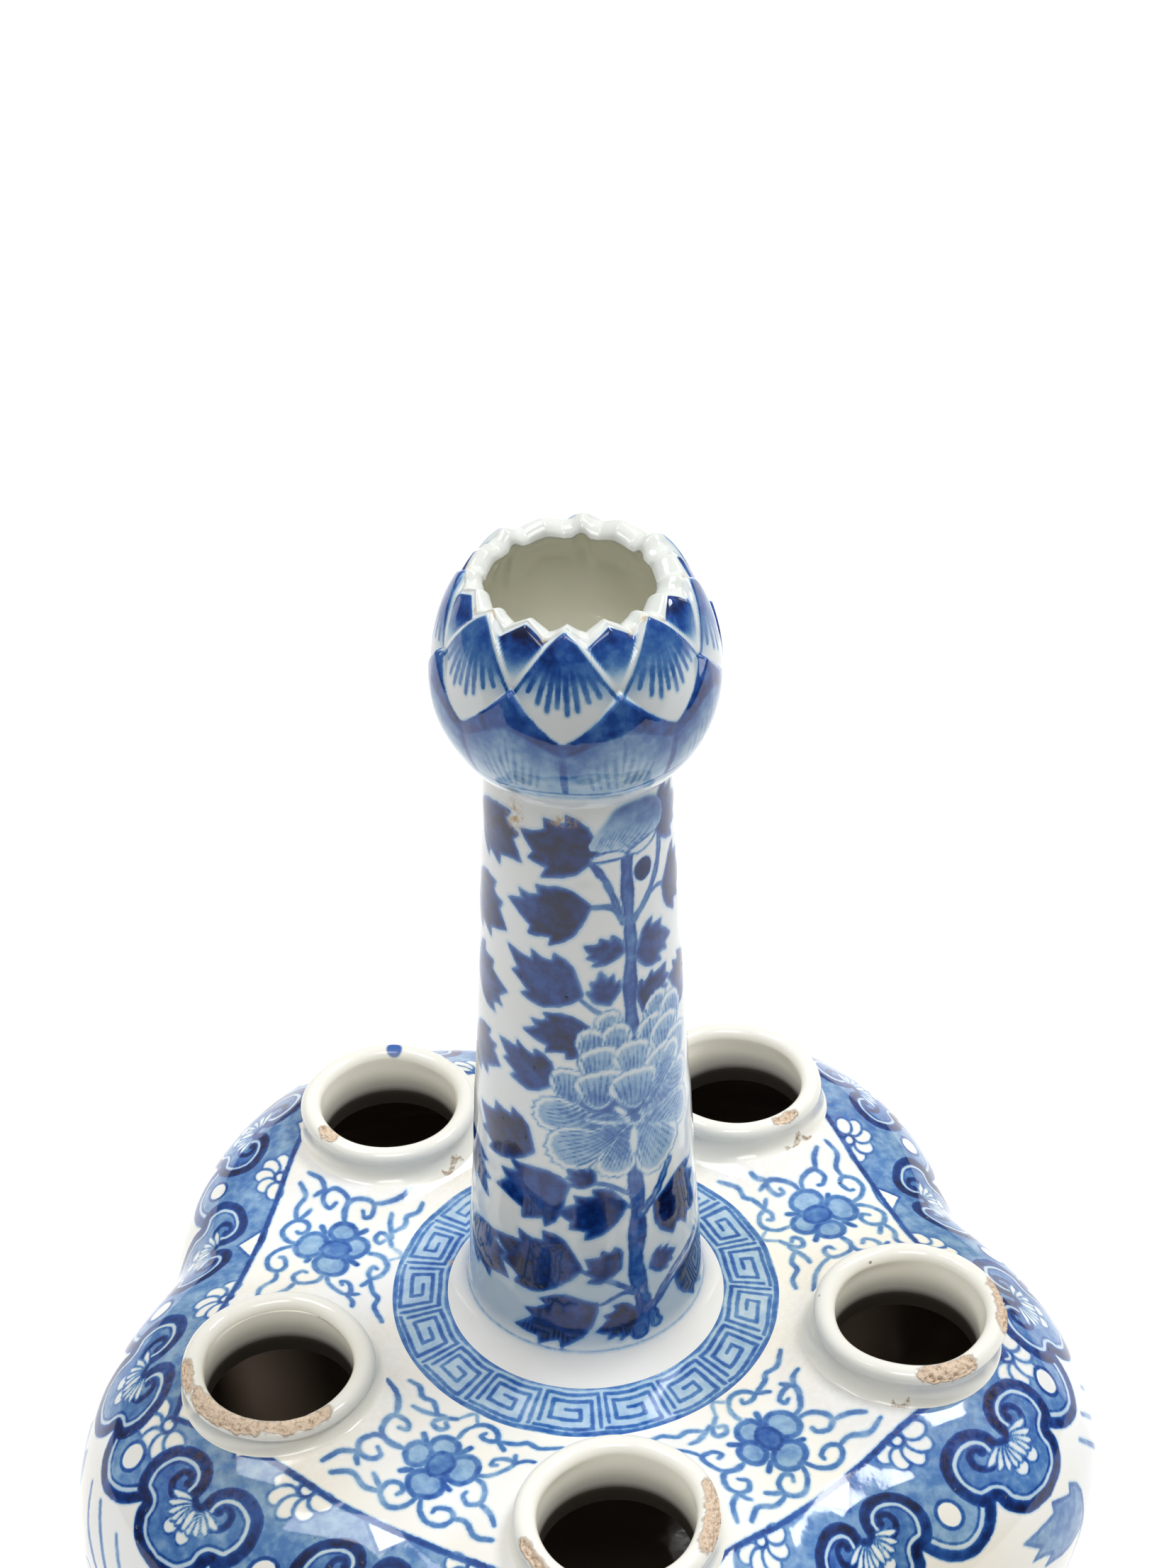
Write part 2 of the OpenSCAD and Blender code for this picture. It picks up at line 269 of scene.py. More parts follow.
class Painting:
    """What the brush leaves on one piece, per vertex: ink and white as distances to their edges
    (negative inside), and tones from 0, bare glaze, to 1, the darkest cobalt."""

    def __init__(self, x, y):
        self.x, self.y = np.ravel(x), np.ravel(y)
        n = self.x.size
        self.every = np.arange(n)
        self.ink, self.white = np.full(n, FAR), np.full(n, FAR)
        self.ink_tone, self.wash = np.full(n, BARE["ink_tone"]), np.zeros(n)

    def near(self, points, reach=NEAR):
        """Indices of the vertices in a box round some points."""
        (x0, y0), (x1, y1) = points.min(0) - reach, points.max(0) + reach
        return np.flatnonzero((self.x > x0) & (self.x < x1) & (self.y > y0) & (self.y < y1))

    def lay(self, at, gap, tone):
        """Ink where gap is negative; the nearer line gives the tone."""
        nearer = gap < self.ink[at]
        self.ink[at] = np.where(nearer, gap, self.ink[at])
        self.ink_tone[at] = np.where(nearer, tone, self.ink_tone[at])

    def reserve(self, at, gap):
        """Bare glaze left where gap is negative."""
        self.white[at] = np.minimum(self.white[at], gap)

    def cover(self, at, gap, tone, soft=0.3):
        """A wash that replaces what is under it where gap is negative."""
        self.ink[at] = np.maximum(self.ink[at], -gap)
        self.white[at] = np.maximum(self.white[at], -gap)
        self.wash[at] += (tone - self.wash[at]) * rise(soft, -soft, gap)

    def add(self, other, at):
        """Adds another painting, made on the vertices at."""
        self.lay(at, other.ink, other.ink_tone)
        self.reserve(at, other.white)
        self.wash[at] = np.maximum(self.wash[at], other.wash)

    def band(self, off, width, tone):
        """A line all along the piece where off is near 0."""
        self.lay(self.every, np.abs(off) - width / 2, tone)

    def shape(self, ring, reach=NEAR):
        """Vertices round a closed ring and their distance to it, negative inside."""
        at = self.near(ring, reach)
        x, y = self.x[at], self.y[at]
        gap, _ = distance(x, y, np.vstack([ring, ring[:1]]))
        return at, np.where(within(x, y, ring), -gap, gap)

    def solid(self, ring, tone):
        """A closed shape in full ink."""
        at, gap = self.shape(ring)
        self.lay(at, gap, tone)

    def outlined(self, ring, fill, half_line, tone, out=0.0):
        """A closed shape in a wash, with a line that lies a little outside its edge."""
        at, gap = self.shape(ring)
        self.cover(at, gap, fill)
        self.lay(at, np.abs(gap - out) - half_line, tone)
        return at, gap

    def stroke(self, points, width, tone, ends=0.7, smooth=True):
        """One brush line along a smooth path, full in the middle and a share of the width at its ends."""
        path = curve(points) if smooth else np.asarray(points, float)
        at = self.near(path)
        if at.size:
            gap, along = distance(self.x[at], self.y[at], path)
            full = ends + (1 - ends) * np.sqrt(np.clip(np.sin(np.pi * along), 0, 1))
            self.lay(at, gap - width / 2 * full, tone)

    def leaf(self, tip, base, width, tone):
        """A leaf in solid ink with rounded teeth, thinner along its edge, in a faint halo of blue."""
        at, gap = self.shape(toothed_leaf(tip, base, width))
        if at.size:
            gap = gap - LEAF_ROUND
            self.lay(at, gap, tone - LEAF_PALER * rise(-LEAF_EDGE, 0.0, gap))
            self.wash[at] = np.maximum(self.wash[at], LEAF_HALO * rise(0.9, -0.2, gap))

    def petal(self, root, tip, width, tone, scallops=4, rays=7, line=PETAL_LINE, slim=0.0):
        """A petal in a wash that pales to a white scalloped rim, with a thin outline and rays."""
        ring, place, end = fan_petal(root, tip, width, scallops, slim)
        at, gap = self.shape(ring)
        if not at.size:
            return
        root, way = np.asarray(root, float), np.subtract(tip, root)
        along = ((self.x[at] - root[0]) * way[0] + (self.y[at] - root[1]) * way[1]) / (way @ way)
        rim = mix(rise(0.0, -0.7, gap), rise(-0.5, -1.3, gap), rise(0.3, 0.55, along))
        self.cover(at, gap, tone * mix(1.3, 0.85, np.clip(along, 0, 1)) * rim)
        self.lay(at, np.abs(gap) - line / 2, PETAL_RIB - 0.16)
        for s in np.linspace(-0.8, 0.8, rays):
            stop = end(s) - 0.11 - 0.05 * abs(math.sin(7 * s + width))
            self.stroke([place(0.12, s * 0.5), place(stop, s)], line * 1.25, PETAL_RIB, 0.4, False)


def toothed_leaf(tip, base, width):
    """Vine leaf outline: round at its base, with two teeth on each side that point to the tip."""
    tip, base = np.asarray(tip, float), np.asarray(base, float)
    axis = tip - base
    side = np.array([-axis[1], axis[0]]) / np.hypot(*axis)
    flip = 1 if math.sin(3.1 * tip[1] + base[0]) > 0 else -1

    def edge(outline, way):
        along, across = np.array(outline).T
        curved = LEAF_BEND * np.hypot(*axis) * np.sin(np.pi * along)
        return base + axis * along[:, None] + side * (curved + flip * way * across * width)[:, None]
    return np.vstack([edge(LEAF_UPPER, 1), edge(LEAF_LOWER, -1)[-2::-1]])


def fan_petal(root, tip, width, scallops, slim):
    """Petal outline that opens from its root and ends in a scalloped half oval, the place of a share along
    and across it, and how far along it ends; slim from 0 to 1 narrows it towards the root."""
    root, axis = np.asarray(root, float), np.subtract(tip, root).astype(float)
    side = np.array([-axis[1], axis[0]]) / np.hypot(*axis) * width / 2
    widest = PETAL_WIDEST + 0.12 * slim

    def place(along, across):
        along, across = np.broadcast_arrays(along, across)
        return root + along[..., None] * axis + across[..., None] * side

    def end(s):
        arch = np.sqrt(np.clip(1 - np.abs(s) ** PETAL_ARCH, 0, 1))
        scallop = SCALLOP_DEEP * np.abs(np.cos(scallops * np.pi * (s + 1) / 2))
        return widest + (1 - widest) * arch - scallop

    s = np.sin(np.linspace(-np.pi / 2, np.pi / 2, SCALLOP_POINTS * scallops + 1))
    t = np.linspace(0, 1, 12)[:-1]
    open_out = t ** (0.6 + 0.35 * slim)
    left, right = place(t * end(-1.0), -open_out), place(t * end(1.0), open_out)
    return np.vstack([left, place(end(s), s), right[::-1]]), place, end


# Painted ring of key fret round the neck: borders as radius, width and tone
FRET_UNITS = 17
FRET_START = -132.0
FRET_IN, FRET_OUT = 27.9, 35.4
FRET_LINE, FRET_TONE, FRET_WASH = 0.84, 0.68, 0.29
FRET_FILL = 0.93
FRET_BORDERS = ((36.55, 1.1, 0.64), (26.35, 1.1, 0.58))
FRET_SPIRAL = [
    (0, 0), (0.86, 0), (0.86, 0.8), (0.2, 0.8), (0.2, 0.27), (0.66, 0.27), (0.66, 0.56), (0.42, 0.56)]
FRET_ELBOW = [(1, 0.02), (1, 1), (0.06, 1), (0.06, 0.16)]


def paint_fret_ring(az, r):
    """Square spirals in a row, unrolled with one unit per 360/17 degrees, between two border lines."""
    step = 360.0 / FRET_UNITS
    wide = math.radians(step) * (FRET_IN + FRET_OUT) / 2
    turn = np.radians(az)
    shaky = r + sway((0.22, 3 * turn + 1), (0.16, 19 * turn))
    place = (az - FRET_START + sway((0.5, 5 * turn), (0.35, 13 * turn + 2))) % step
    work = Painting(place / step * wide, FRET_OUT - shaky)
    shaky = np.ravel(shaky)
    work.wash[:] = FRET_WASH * rise(KEY_R, KEY_R - 1, shaky) * rise(25.6, 26.6, shaky)
    size = np.array([wide * FRET_FILL, FRET_OUT - FRET_IN])
    for path in (FRET_SPIRAL, FRET_ELBOW):
        for lap in (0, -1):
            work.stroke(np.array(path) * size + [lap * wide + 0.2, 0], FRET_LINE, FRET_TONE, 0.85, False)
    for border, width, tone in FRET_BORDERS:
        work.band(shaky - border, width, tone)
    return work


# Flower with tendrils in each corner between the spouts. The look of an outlined shape is its wash,
# half the width and the tone of its line, and how far outside its edge the line lies
FLOWER_R, FLOWER_WIDE, FLOWER_DEEP = 50.0, 22.0, 15.0
FLOWER_PETALS = [(-1.3, -3.3, 2.5, 2.4), (-4.6, 0.3, 2.2, 2.5), (4.2, -0.4, 2.7, 3.1), (0, 5.2, 3.2, 2.7)]
FLOWER_PETAL_LOOK = (0.41, 0.6, 0.66, 0.1)
FLOWER_HEART = (0.1, 0.1, 2.1, 2.6)
FLOWER_HEART_LOOK = (0.6, 0.5, 0.76, 0.1)
FLOWER_BARS = [
    ((2.8, -5.4), (1.8, -3.3)), ((-6.3, -3.9), (-4.7, -2.4)), ((-5.4, 5.1), (-3.8, 3.9)),
    ((4.4, 4.5), (2.8, 3.9))]
BAR_LINE, BAR_TONE = 1.2, 0.7
TENDRILS = [
    [(-3.3, -10.2), (-6.0, -8.4), (-6.4, -6.8), (-4.7, -6.3), (-3.7, -7.4), (-4.7, -8.3)],
    [(-7.0, -8.9), (-9.4, -11.0), (-11.8, -11.0), (-13.7, -12.9), (-16.1, -13.3)],
    [(-5.6, -9.4), (-9.4, -8.1), (-11.6, -8.0)],
    [(-0.6, -6.5), (-0.4, -9.2), (1.8, -11.3), (4.4, -11.0), (5.8, -9.2), (4.4, -8.3), (2.8, -8.7),
     (3.1, -9.6)], [(5.6, -9.4), (6.6, -8.8), (8.2, -7.8)],
    [(6.0, -9.0), (9.2, -10.2), (10.8, -11.6), (13.5, -11.6), (16.7, -14.0)],
    [(6.3, -0.4), (9.2, -1.2), (11.4, -3.8), (11.9, -5.7), (10.3, -6.2), (8.2, -5.2), (8.2, -3.8),
     (9.2, -4.1)], [(11.7, -5.4), (13.5, -7.3), (15.1, -7.7)], [(10.8, -7.8), (11.3, -6.9), (11.9, -6.0)],
    [(6.6, 0.2), (9.2, 0.7), (10.8, 2.6), (11.1, 4.7), (9.2, 5.8), (7.4, 4.7), (7.4, 3.6)],
    [(11.2, 4.9), (14.0, 6.0), (16.2, 7.9)],
    [(0.7, 8.0), (2.0, 10.6), (4.4, 12.2), (7.1, 11.6), (8.2, 9.5), (6.6, 8.2), (4.4, 9.0), (4.2, 10.0)],
    [(8.2, 9.5), (10.8, 9.2), (14.0, 11.1), (17.5, 10.6)],
    [(0.2, 8.0), (-0.9, 10.8), (-3.6, 12.4), (-6.2, 10.8), (-6.0, 8.4), (-4.1, 7.4), (-2.8, 8.4),
     (-3.3, 9.5)], [(-6.2, 10.6), (-9.4, 11.4), (-12.6, 10.3), (-15.8, 12.2)],
    [(-9.2, 8.4), (-8.0, 9.2), (-6.8, 10.0)],
    [(-6.2, 0.4), (-9.4, 1.6), (-12.6, 1.4), (-14.5, 4.2), (-13.4, 6.3), (-11.3, 6.3), (-10.0, 4.7),
     (-11.3, 3.6)], [(-13.5, 6.2), (-16.4, 7.9), (-18.2, 11.1)],
    [(-14.0, 6.0), (-13.4, 7.4), (-12.6, 8.4)],
    [(-8.2, 1.0), (-10.8, 1.3), (-12.6, 0.2), (-13.2, -2.5), (-12.4, -4.1), (-10.0, -4.1), (-9.2, -2.8),
     (-10.5, -2.2)], [(-12.5, -4.0), (-13.7, -6.5), (-15.8, -8.9), (-19.0, -10.7)]]
TENDRIL_LINE, TENDRIL_TONE = 1.08, 0.58
FAINT_TENDRIL = [(-3.3, -10.2), (-1.4, -12.9), (0.4, -11.3)]


def paint_flower(x, y):
    """Five-part flower with curling tendrils; x runs round the vase, y outwards from the flower's middle."""
    work = Painting(x, y)
    for path in TENDRILS:
        work.stroke(path, TENDRIL_LINE, TENDRIL_TONE, 0.75)
    work.stroke(FAINT_TENDRIL, TENDRIL_LINE * 0.7, TENDRIL_TONE * 0.8)
    for bar in FLOWER_BARS:
        work.stroke(bar, BAR_LINE, BAR_TONE, 0.9, False)
    for petal in FLOWER_PETALS:
        work.outlined(oval(*petal), *FLOWER_PETAL_LOOK)
    work.outlined(oval(*FLOWER_HEART), *FLOWER_HEART_LOOK)
    return work


# Collar of cloud heads and pendants round the rim of the shoulder: x is in DEG mm per degree from the
# middle of a lobe, y is the way along the surface from the painted ring
DEG = 1.5
BORDER_R = 64.0
BORDER_OUT = (1.6, 0.5, 0.0, 0.0, 1.8)
RUYI_V, PENDANT_V = 52.0, 53.2
GROUND_END = 54.6
RUYI_AT = (-36.0, -12.0, 12.0, 36.0)
PENDANT_AT = (-24.0, 0.0, 24.0)
BLOSSOM_AT = (-21.5, 0.0, 21.5)
RUYI_HALF = [
    (0.0, -1.6), (1.7, -2.3), (1.9, -5.6), (4.0, -7.9), (7.6, -8.5), (11.6, -6.6), (13.2, -2.2),
    (11.6, 2.0), (8.4, 3.1), (7.6, 6.0), (4.8, 9.0), (0.0, 10.2)]
RUYI_CURL = [(1.6, -2.6), (3.4, -1.5), (5.8, -1.3), (7.5, -2.8), (7.2, -4.9), (5.4, -5.5), (4.6, -4.2)]
PENDANT = [(-8.6, 0.4), (-6.6, 3.6), (-3.8, 6.2), (0.0, 7.4), (3.8, 6.2), (6.6, 3.6), (8.6, 0.4)]
BAND, PALE_LINE, THIN_LINE = 2.25, 0.8, 0.5
NAVY, DARK, MID, PALE = 0.93, 0.84, 0.56, 0.43
SHELL_ANGLES = ((80, 6.6, 1.7), (61, 6.4, 1.7), (43, 6.0, 1.7), (26, 5.6, 1.7), (10, 5.2, 1.6))
SHELL_LOOK = (0.05, 0.2, 0.74)
SHELL_DROPS = (-1.7, 1.7)
SHELL_DROP_LOOK = (0.05, 0.24, 0.76)
PEARL, PEARL_RING = (2.0, 2.3), 0.5
BLOSSOM_ANGLES = (-78, -40, 0, 40, 78)
BLOSSOM_R = 4.4
BLOSSOM_LOOK, BLOSSOM_HEART_LOOK = (0.0, 0.34, 0.68), (0.0, 0.4, DARK)
TOOTH_LOOK = (0.0, 0.36, 0.72)
LOBE_TOOTH, LOBE_TOOTH_IN, CREASE_TOOTH = (3.6, 3.4), 0.85, (6.2, 5.6)


def line_inside(work, at, gap, inner):
    """White line and then a thin dark line inside a broad band, at set distances from its middle."""
    d = np.where(inner, gap, FAR)
    pale = BAND / 2 + PALE_LINE / 2
    thin = BAND / 2 + PALE_LINE + THIN_LINE / 2
    work.cover(at, np.abs(d - pale) - PALE_LINE / 2, 0.2)
    work.lay(at, np.abs(d - thin) - THIN_LINE / 2, DARK)


def paint_ruyi(work, x):
    """Cloud head: two curled shoulders over a round chin, with a shell of white petals in the middle."""
    half = curve(RUYI_HALF)
    ring = np.vstack([half, (half * [-1, 1])[-2:0:-1]]) + [x, RUYI_V]
    at, gap = work.shape(ring, NEAR + 1)
    if not at.size:
        return
    work.cover(at, gap, mix(MID, PALE + 0.06, rise(2.0, 9.0, work.y[at] - RUYI_V)))
    line_inside(work, at, -gap, gap < 0)
    work.lay(at, np.abs(gap) - BAND / 2, NAVY)
    for way in (-1, 1):
        curl = np.array(RUYI_CURL) * [way, 1] + [x, RUYI_V]
        work.stroke(curl, 1.5, NAVY, 0.75)
        work.solid(oval(*curl[-1], 1.0, 0.9), NAVY)
    paint_shell(work, x + 0.4, RUYI_V - 2.8)


def paint_shell(work, x, y):
    """Fan of white petals from one point, each an ellipse turned by its angle, over two white drops."""
    for side in SHELL_DROPS:
        work.outlined(oval(x + side, y + 5.6, 1.6, 1.7), *SHELL_DROP_LOOK)
    for angle, length, width in SHELL_ANGLES:
        for turn in (-angle, angle):
            a = math.radians(turn)
            mx, my = x + 0.56 * length * math.sin(a), y + 0.56 * length * math.cos(a)
            work.outlined(oval(mx, my, width / 2, length * 0.44, -turn), *SHELL_LOOK)
    work.stroke([(x - 1.5, y - 0.4), (x, y + 0.3), (x + 1.5, y - 0.4)], 1.5, NAVY, 0.8)


def paint_pendant(work, x):
    """Round-bottomed pendant between two cloud heads, with an outlined white pearl in it."""
    path = curve(PENDANT) + [x, PENDANT_V]
    at, gap = work.shape(path, NEAR + 1)
    if not at.size:
        return
    open_gap, _ = distance(work.x[at], work.y[at], path)
    work.cover(at, gap, MID - 0.08)
    line_inside(work, at, open_gap, gap < 0)
    work.lay(at, open_gap - BAND * 0.46, DARK + 0.04)
    at, gap = work.shape(oval(x, PENDANT_V - 0.4, *PEARL))
    work.cover(at, gap - PEARL_RING, 0.1)
    work.lay(at, np.abs(gap - PEARL_RING) - 0.36, DARK)
    work.reserve(at, gap)


def paint_blossom(work, x, y):
    """Half a blossom hanging from the border: a ring of white petals round a white heart."""
    for angle in BLOSSOM_ANGLES:
        a = math.radians(angle)
        px, py = x + BLOSSOM_R * math.sin(a), y + BLOSSOM_R * math.cos(a) + 0.5
        work.outlined(oval(px, py, 2.1, 2.7, -angle), *BLOSSOM_LOOK)
    work.outlined(oval(x, y + 0.7, 1.5, 1.4), *BLOSSOM_HEART_LOOK)


def paint_tooth(work, x, y, wide, deep):
    """White triangle hanging from the border over a cloud head, in a dark outline."""
    ring = np.array([(x - wide, y - 0.2), (x + wide, y - 0.2), (x + wide * 0.1, y + deep)])
    at, gap = work.outlined(ring, *TOOTH_LOOK)
    work.reserve(at, gap + 0.3)


def paint_collar(work, border, border_v):
    """Blue ground from the straight border to the cloud heads, with what hangs in it."""
    work.cover(work.every, -np.minimum(border, GROUND_END - work.y), PALE + 0.07)
    for at in BLOSSOM_AT:
        paint_blossom(work, at * DEG, border_v(at) + 0.6)
    for at in RUYI_AT:
        if abs(at) < HALF / 2:
            paint_tooth(work, at * DEG * LOBE_TOOTH_IN, border_v(at), *LOBE_TOOTH)
        else:
            paint_tooth(work, at * DEG, border_v(at), *CREASE_TOOTH)
    for at in PENDANT_AT:
        paint_pendant(work, at * DEG)
    for at in RUYI_AT:
        paint_ruyi(work, at * DEG)
    work.band(border - 0.3, 1.16, DARK)


# Spray of a peony and leaves on the side of each lobe
SPRAY_ROOT = (0.0, 104.0)
SPRAY_PETALS = [
    (-19, 97, 9), (19, 98, 9), (-16, 88, 10), (16, 89, 10), (-9, 81, 10), (9, 81, 10), (0, 78, 11),
    (-10, 94, 8), (10, 95, 8), (-4, 89, 8), (5, 89, 8)]
SPRAY_LEAVES = [
    ((-27, 66), (-10, 79), 13), ((31, 76), (20, 88), 10), ((-30, 84), (-18, 97), 11),
    ((30, 90), (19, 102), 9), ((-22, 112), (-4, 108), 9), ((22, 113), (4, 109), 9),
    ((-14, 126), (0, 118), 8), ((14, 127), (0, 120), 8)]
SPRAY_STEM = [SPRAY_ROOT, (1, 114), (0, 132)]
SPRAY_TWIGS = [
    [(-1, 110), (-14, 104), (-20, 98)], [(1, 112), (15, 106), (20, 100)], [(-14, 97), (-15, 88), (-10, 79)],
    [(15, 98), (18, 93), (20, 88)], [(-4, 64.5), (2, 73), (12, 84)], [(1, 63.5), (9, 75), (17, 90)],
    [(8, 64.5), (15, 75), (20, 88)]]
SPRAY_TONE = 0.62
SPRAY_LEAF_LOOK = (0.5, 0.4, 0.7, -0.2)


def paint_spray(work):
    """Peony on a stem with toothed leaves, lighter than the neck's."""
    work.stroke(SPRAY_STEM, 1.8, SPRAY_TONE)
    for twig in SPRAY_TWIGS:
        work.stroke(twig, 1.0, SPRAY_TONE)
    for leaf in SPRAY_LEAVES:
        work.outlined(toothed_leaf(*leaf), *SPRAY_LEAF_LOOK)
    for x, y, width in SPRAY_PETALS:
        work.petal(SPRAY_ROOT, (x, y), width, 0.26, line=0.5)


# Peony on its stem and leaves round the neck: leaves as tip, base and width, petals as tip and width
NECK_SCALE = 0.3316
NECK_LAP = 180 * NECK_SCALE
LEAF_BROAD, LEAF_TONE = 1.12, 0.92
NECK_LEAVES = [
    ((-12.4, 205.6), (4.0, 202.0), 10.4), ((-14.6, 191.0), (2.1, 191.9), 9.6),
    ((-14.8, 181.2), (0.6, 174.6), 10.2), ((-10.9, 165.2), (1.3, 168.0), 8.2),
    ((-17.0, 160.1), (-4.6, 155.2), 8.6), ((-22.6, 142.8), (-8.8, 138.8), 10.4),
    ((-16.7, 127.9), (-2.4, 132.6), 11.4), ((-2.7, 135.9), (1.9, 133.5), 4.4),
    ((-4.2, 126.2), (7.4, 127.0), 9.6), ((-16.8, 116.6), (-0.8, 113.6), 12.2),
    ((0.3, 115.8), (6.1, 112.4), 7.2), ((-12.4, 97.6), (1.4, 105.6), 9.4),
    ((1.6, 99.2), (8.5, 101.2), 7.0), ((1.2, 184.4), (8.5, 181.2), 4.6), ((4.0, 178.7), (5.8, 171.8), 5.0),
    ((21.0, 180.1), (10.9, 179.9), 8.6), ((18.6, 174.3), (12.2, 168.2), 6.8),
    ((27.2, 189.6), (18.6, 191.4), 11.2), ((18.9, 171.0), (28.4, 168.6), 9.2),
    ((24.7, 117.0), (13.0, 126.0), 12.4), ((16.7, 111.3), (11.4, 110.9), 5.2),
    ((29.2, 97.6), (16.7, 105.3), 11.0), ((27.6, 204.9), (16.2, 204.3), 10.4),
    ((-12.2, 199.3), (-26.6, 204.3), 11.0), ((-15.4, 183.9), (-28.6, 187.0), 12.2),
    ((-15.1, 170.6), (-26.8, 168.6), 10.4), ((-17.3, 153.7), (-27.6, 155.2), 9.6),
    ((-19.1, 123.4), (-30.5, 131.6), 9.6), ((-13.8, 107.7), (-25.5, 112.3), 12.0)]
NECK_STEMS = [
    ([(9.6, 200.9), (10.1, 186.4), (9.6, 174.3), (9.8, 164.6)], 2.4),
    ([(9.0, 140.4), (9.5, 125.0), (8.9, 112.1), (9.2, 103.0), (8.5, 96.2)], 2.7),
    ([(9.3, 106.0), (10.6, 101.0), (11.6, 97.0)], 1.9), ([(8.8, 187.2), (5.6, 195.6), (1.9, 200.9)], 1.2),
    ([(10.9, 187.2), (14.6, 191.2), (17.5, 197.7), (17.8, 203.5)], 1.2),
    ([(1.9, 191.9), (6.6, 190.4), (8.8, 186.8)], 1.1),
    ([(14.6, 191.2), (17.0, 191.8), (19.4, 191.3)], 0.9),
    ([(-0.3, 174.3), (4.0, 170.2), (7.6, 166.8)], 0.9), ([(-0.8, 113.3), (3.5, 110.5), (7.8, 106.4)], 1.1),
    ([(2.1, 105.3), (6.1, 106.5), (8.9, 104.9)], 0.9),
    ([(11.0, 101.2), (14.6, 105.7), (19.4, 108.9), (23.1, 110.9)], 1.3),
    ([(10.4, 124.6), (13.5, 128.3), (16.7, 133.1)], 1.6),
    ([(-2.4, 132.4), (3.0, 133.2), (8.6, 129.0)], 0.9),
    ([(17.2, 105.2), (15.2, 104.4), (12.2, 101.6)], 0.9),
    ([(7.4, 126.7), (8.4, 126.2), (9.4, 124.6)], 0.9)]
TWIG_END, TWIG_TONE, THICK_STEM = 1.15, 0.62, (1.5, 2.7)
PEONY_ROOT = (9.5, 146.6)
PEONY_HEART = (9.5, 154.0, 11.0, 9.0)
PEONY_TIERS = [
    (5.0, 167.0, 5.6), (15.1, 166.8, 5.6), (1.3, 164.2, 5.4), (6.3, 163.9, 6.2), (13.5, 163.0, 6.0),
    (19.2, 164.4, 6.4), (2.7, 160.2, 7.4), (9.3, 159.6, 8.0), (17.0, 160.8, 7.6), (-2.4, 155.2, 7.0),
    (20.4, 156.6, 7.4), (2.9, 155.0, 8.6), (15.4, 155.4, 8.4), (9.3, 153.6, 9.8)]
PEONY_SKIRT = [
    (-9.9, 148.4, 7.4), (21.0, 157.5, 5.4), (24.4, 150.4, 6.6), (-6.6, 138.8, 8.6), (23.4, 141.4, 7.4),
    (4.4, 134.2, 7.0), (16.4, 133.6, 9.2)]
PEONY_DROPS = [(9.3, 141.8, 0.85, 3.1, 0.0), (6.6, 148.9, 0.6, 1.7, 45.0), (3.2, 147.3, 0.45, 3.0, 74.0)]
DROP_LOOK = (0.04, 0.14, 0.5)
BUD_FLOWER = [
    (2.3, 202.6), (2.2, 204.1), (4.5, 207.1), (7.6, 210.3), (12.5, 211.4), (16.7, 210.2), (19.5, 207.2),
    (18.2, 203.9), (14.1, 202.6), (9.9, 201.0), (6.0, 201.6), (2.3, 202.6)]
BUD_SEPALS = [(6.0, 200.7, 3.7, 0.95, 0.0), (13.3, 201.8, 3.7, 1.0, 15.0)]
BUD_BERRY = (13.4, 196.9, 2.0, 2.2)
SEPAL_LOOK = (0.06, 0.26, 0.6)
NECK_RING = 5.4


def paint_stem(work, points, width):
    """A stem with dark edges and a paler core, a little knobbly."""
    path = curve(points)
    at = work.near(path, NEAR + 1)
    if at.size:
        gap, along = distance(work.x[at], work.y[at], path)
        gap = gap - width / 2 * (1 + 0.14 * np.sin(25 * along + width))
        thick = rise(*THICK_STEM, width)
        work.cover(at, gap, mix(0.46, 0.7, thick))
        work.lay(at, np.abs(gap + 0.25) - 0.34, mix(0.72, 0.86, thick))


def paint_bud_flower(work):
    """Half-open flower under the bud: one soft fan of blue with faint rays, two white sepals and a berry."""
    at, gap = work.shape(curve(BUD_FLOWER)[:-1])
    if not at.size:
        return
    deep = rise(201, 212, work.y[at] + 0.2 * (work.x[at] - 10))
    work.cover(at, gap, mix(0.22, 0.7, deep), 0.8)
    for t in np.linspace(0, 1, 11):
        tip = (5.0 + 13.0 * t, 205.8 + 4.0 * math.sin(math.pi * t) ** 0.8)
        work.stroke([(3.4 + 6.2 * t, 202.7 - 0.7 * t), tip], 0.42, 0.5 + 0.12 * t, 0.3, False)
    for sepal in BUD_SEPALS:
        work.outlined(oval(*sepal), *SEPAL_LOOK)
    work.solid(oval(*BUD_BERRY), 0.98)


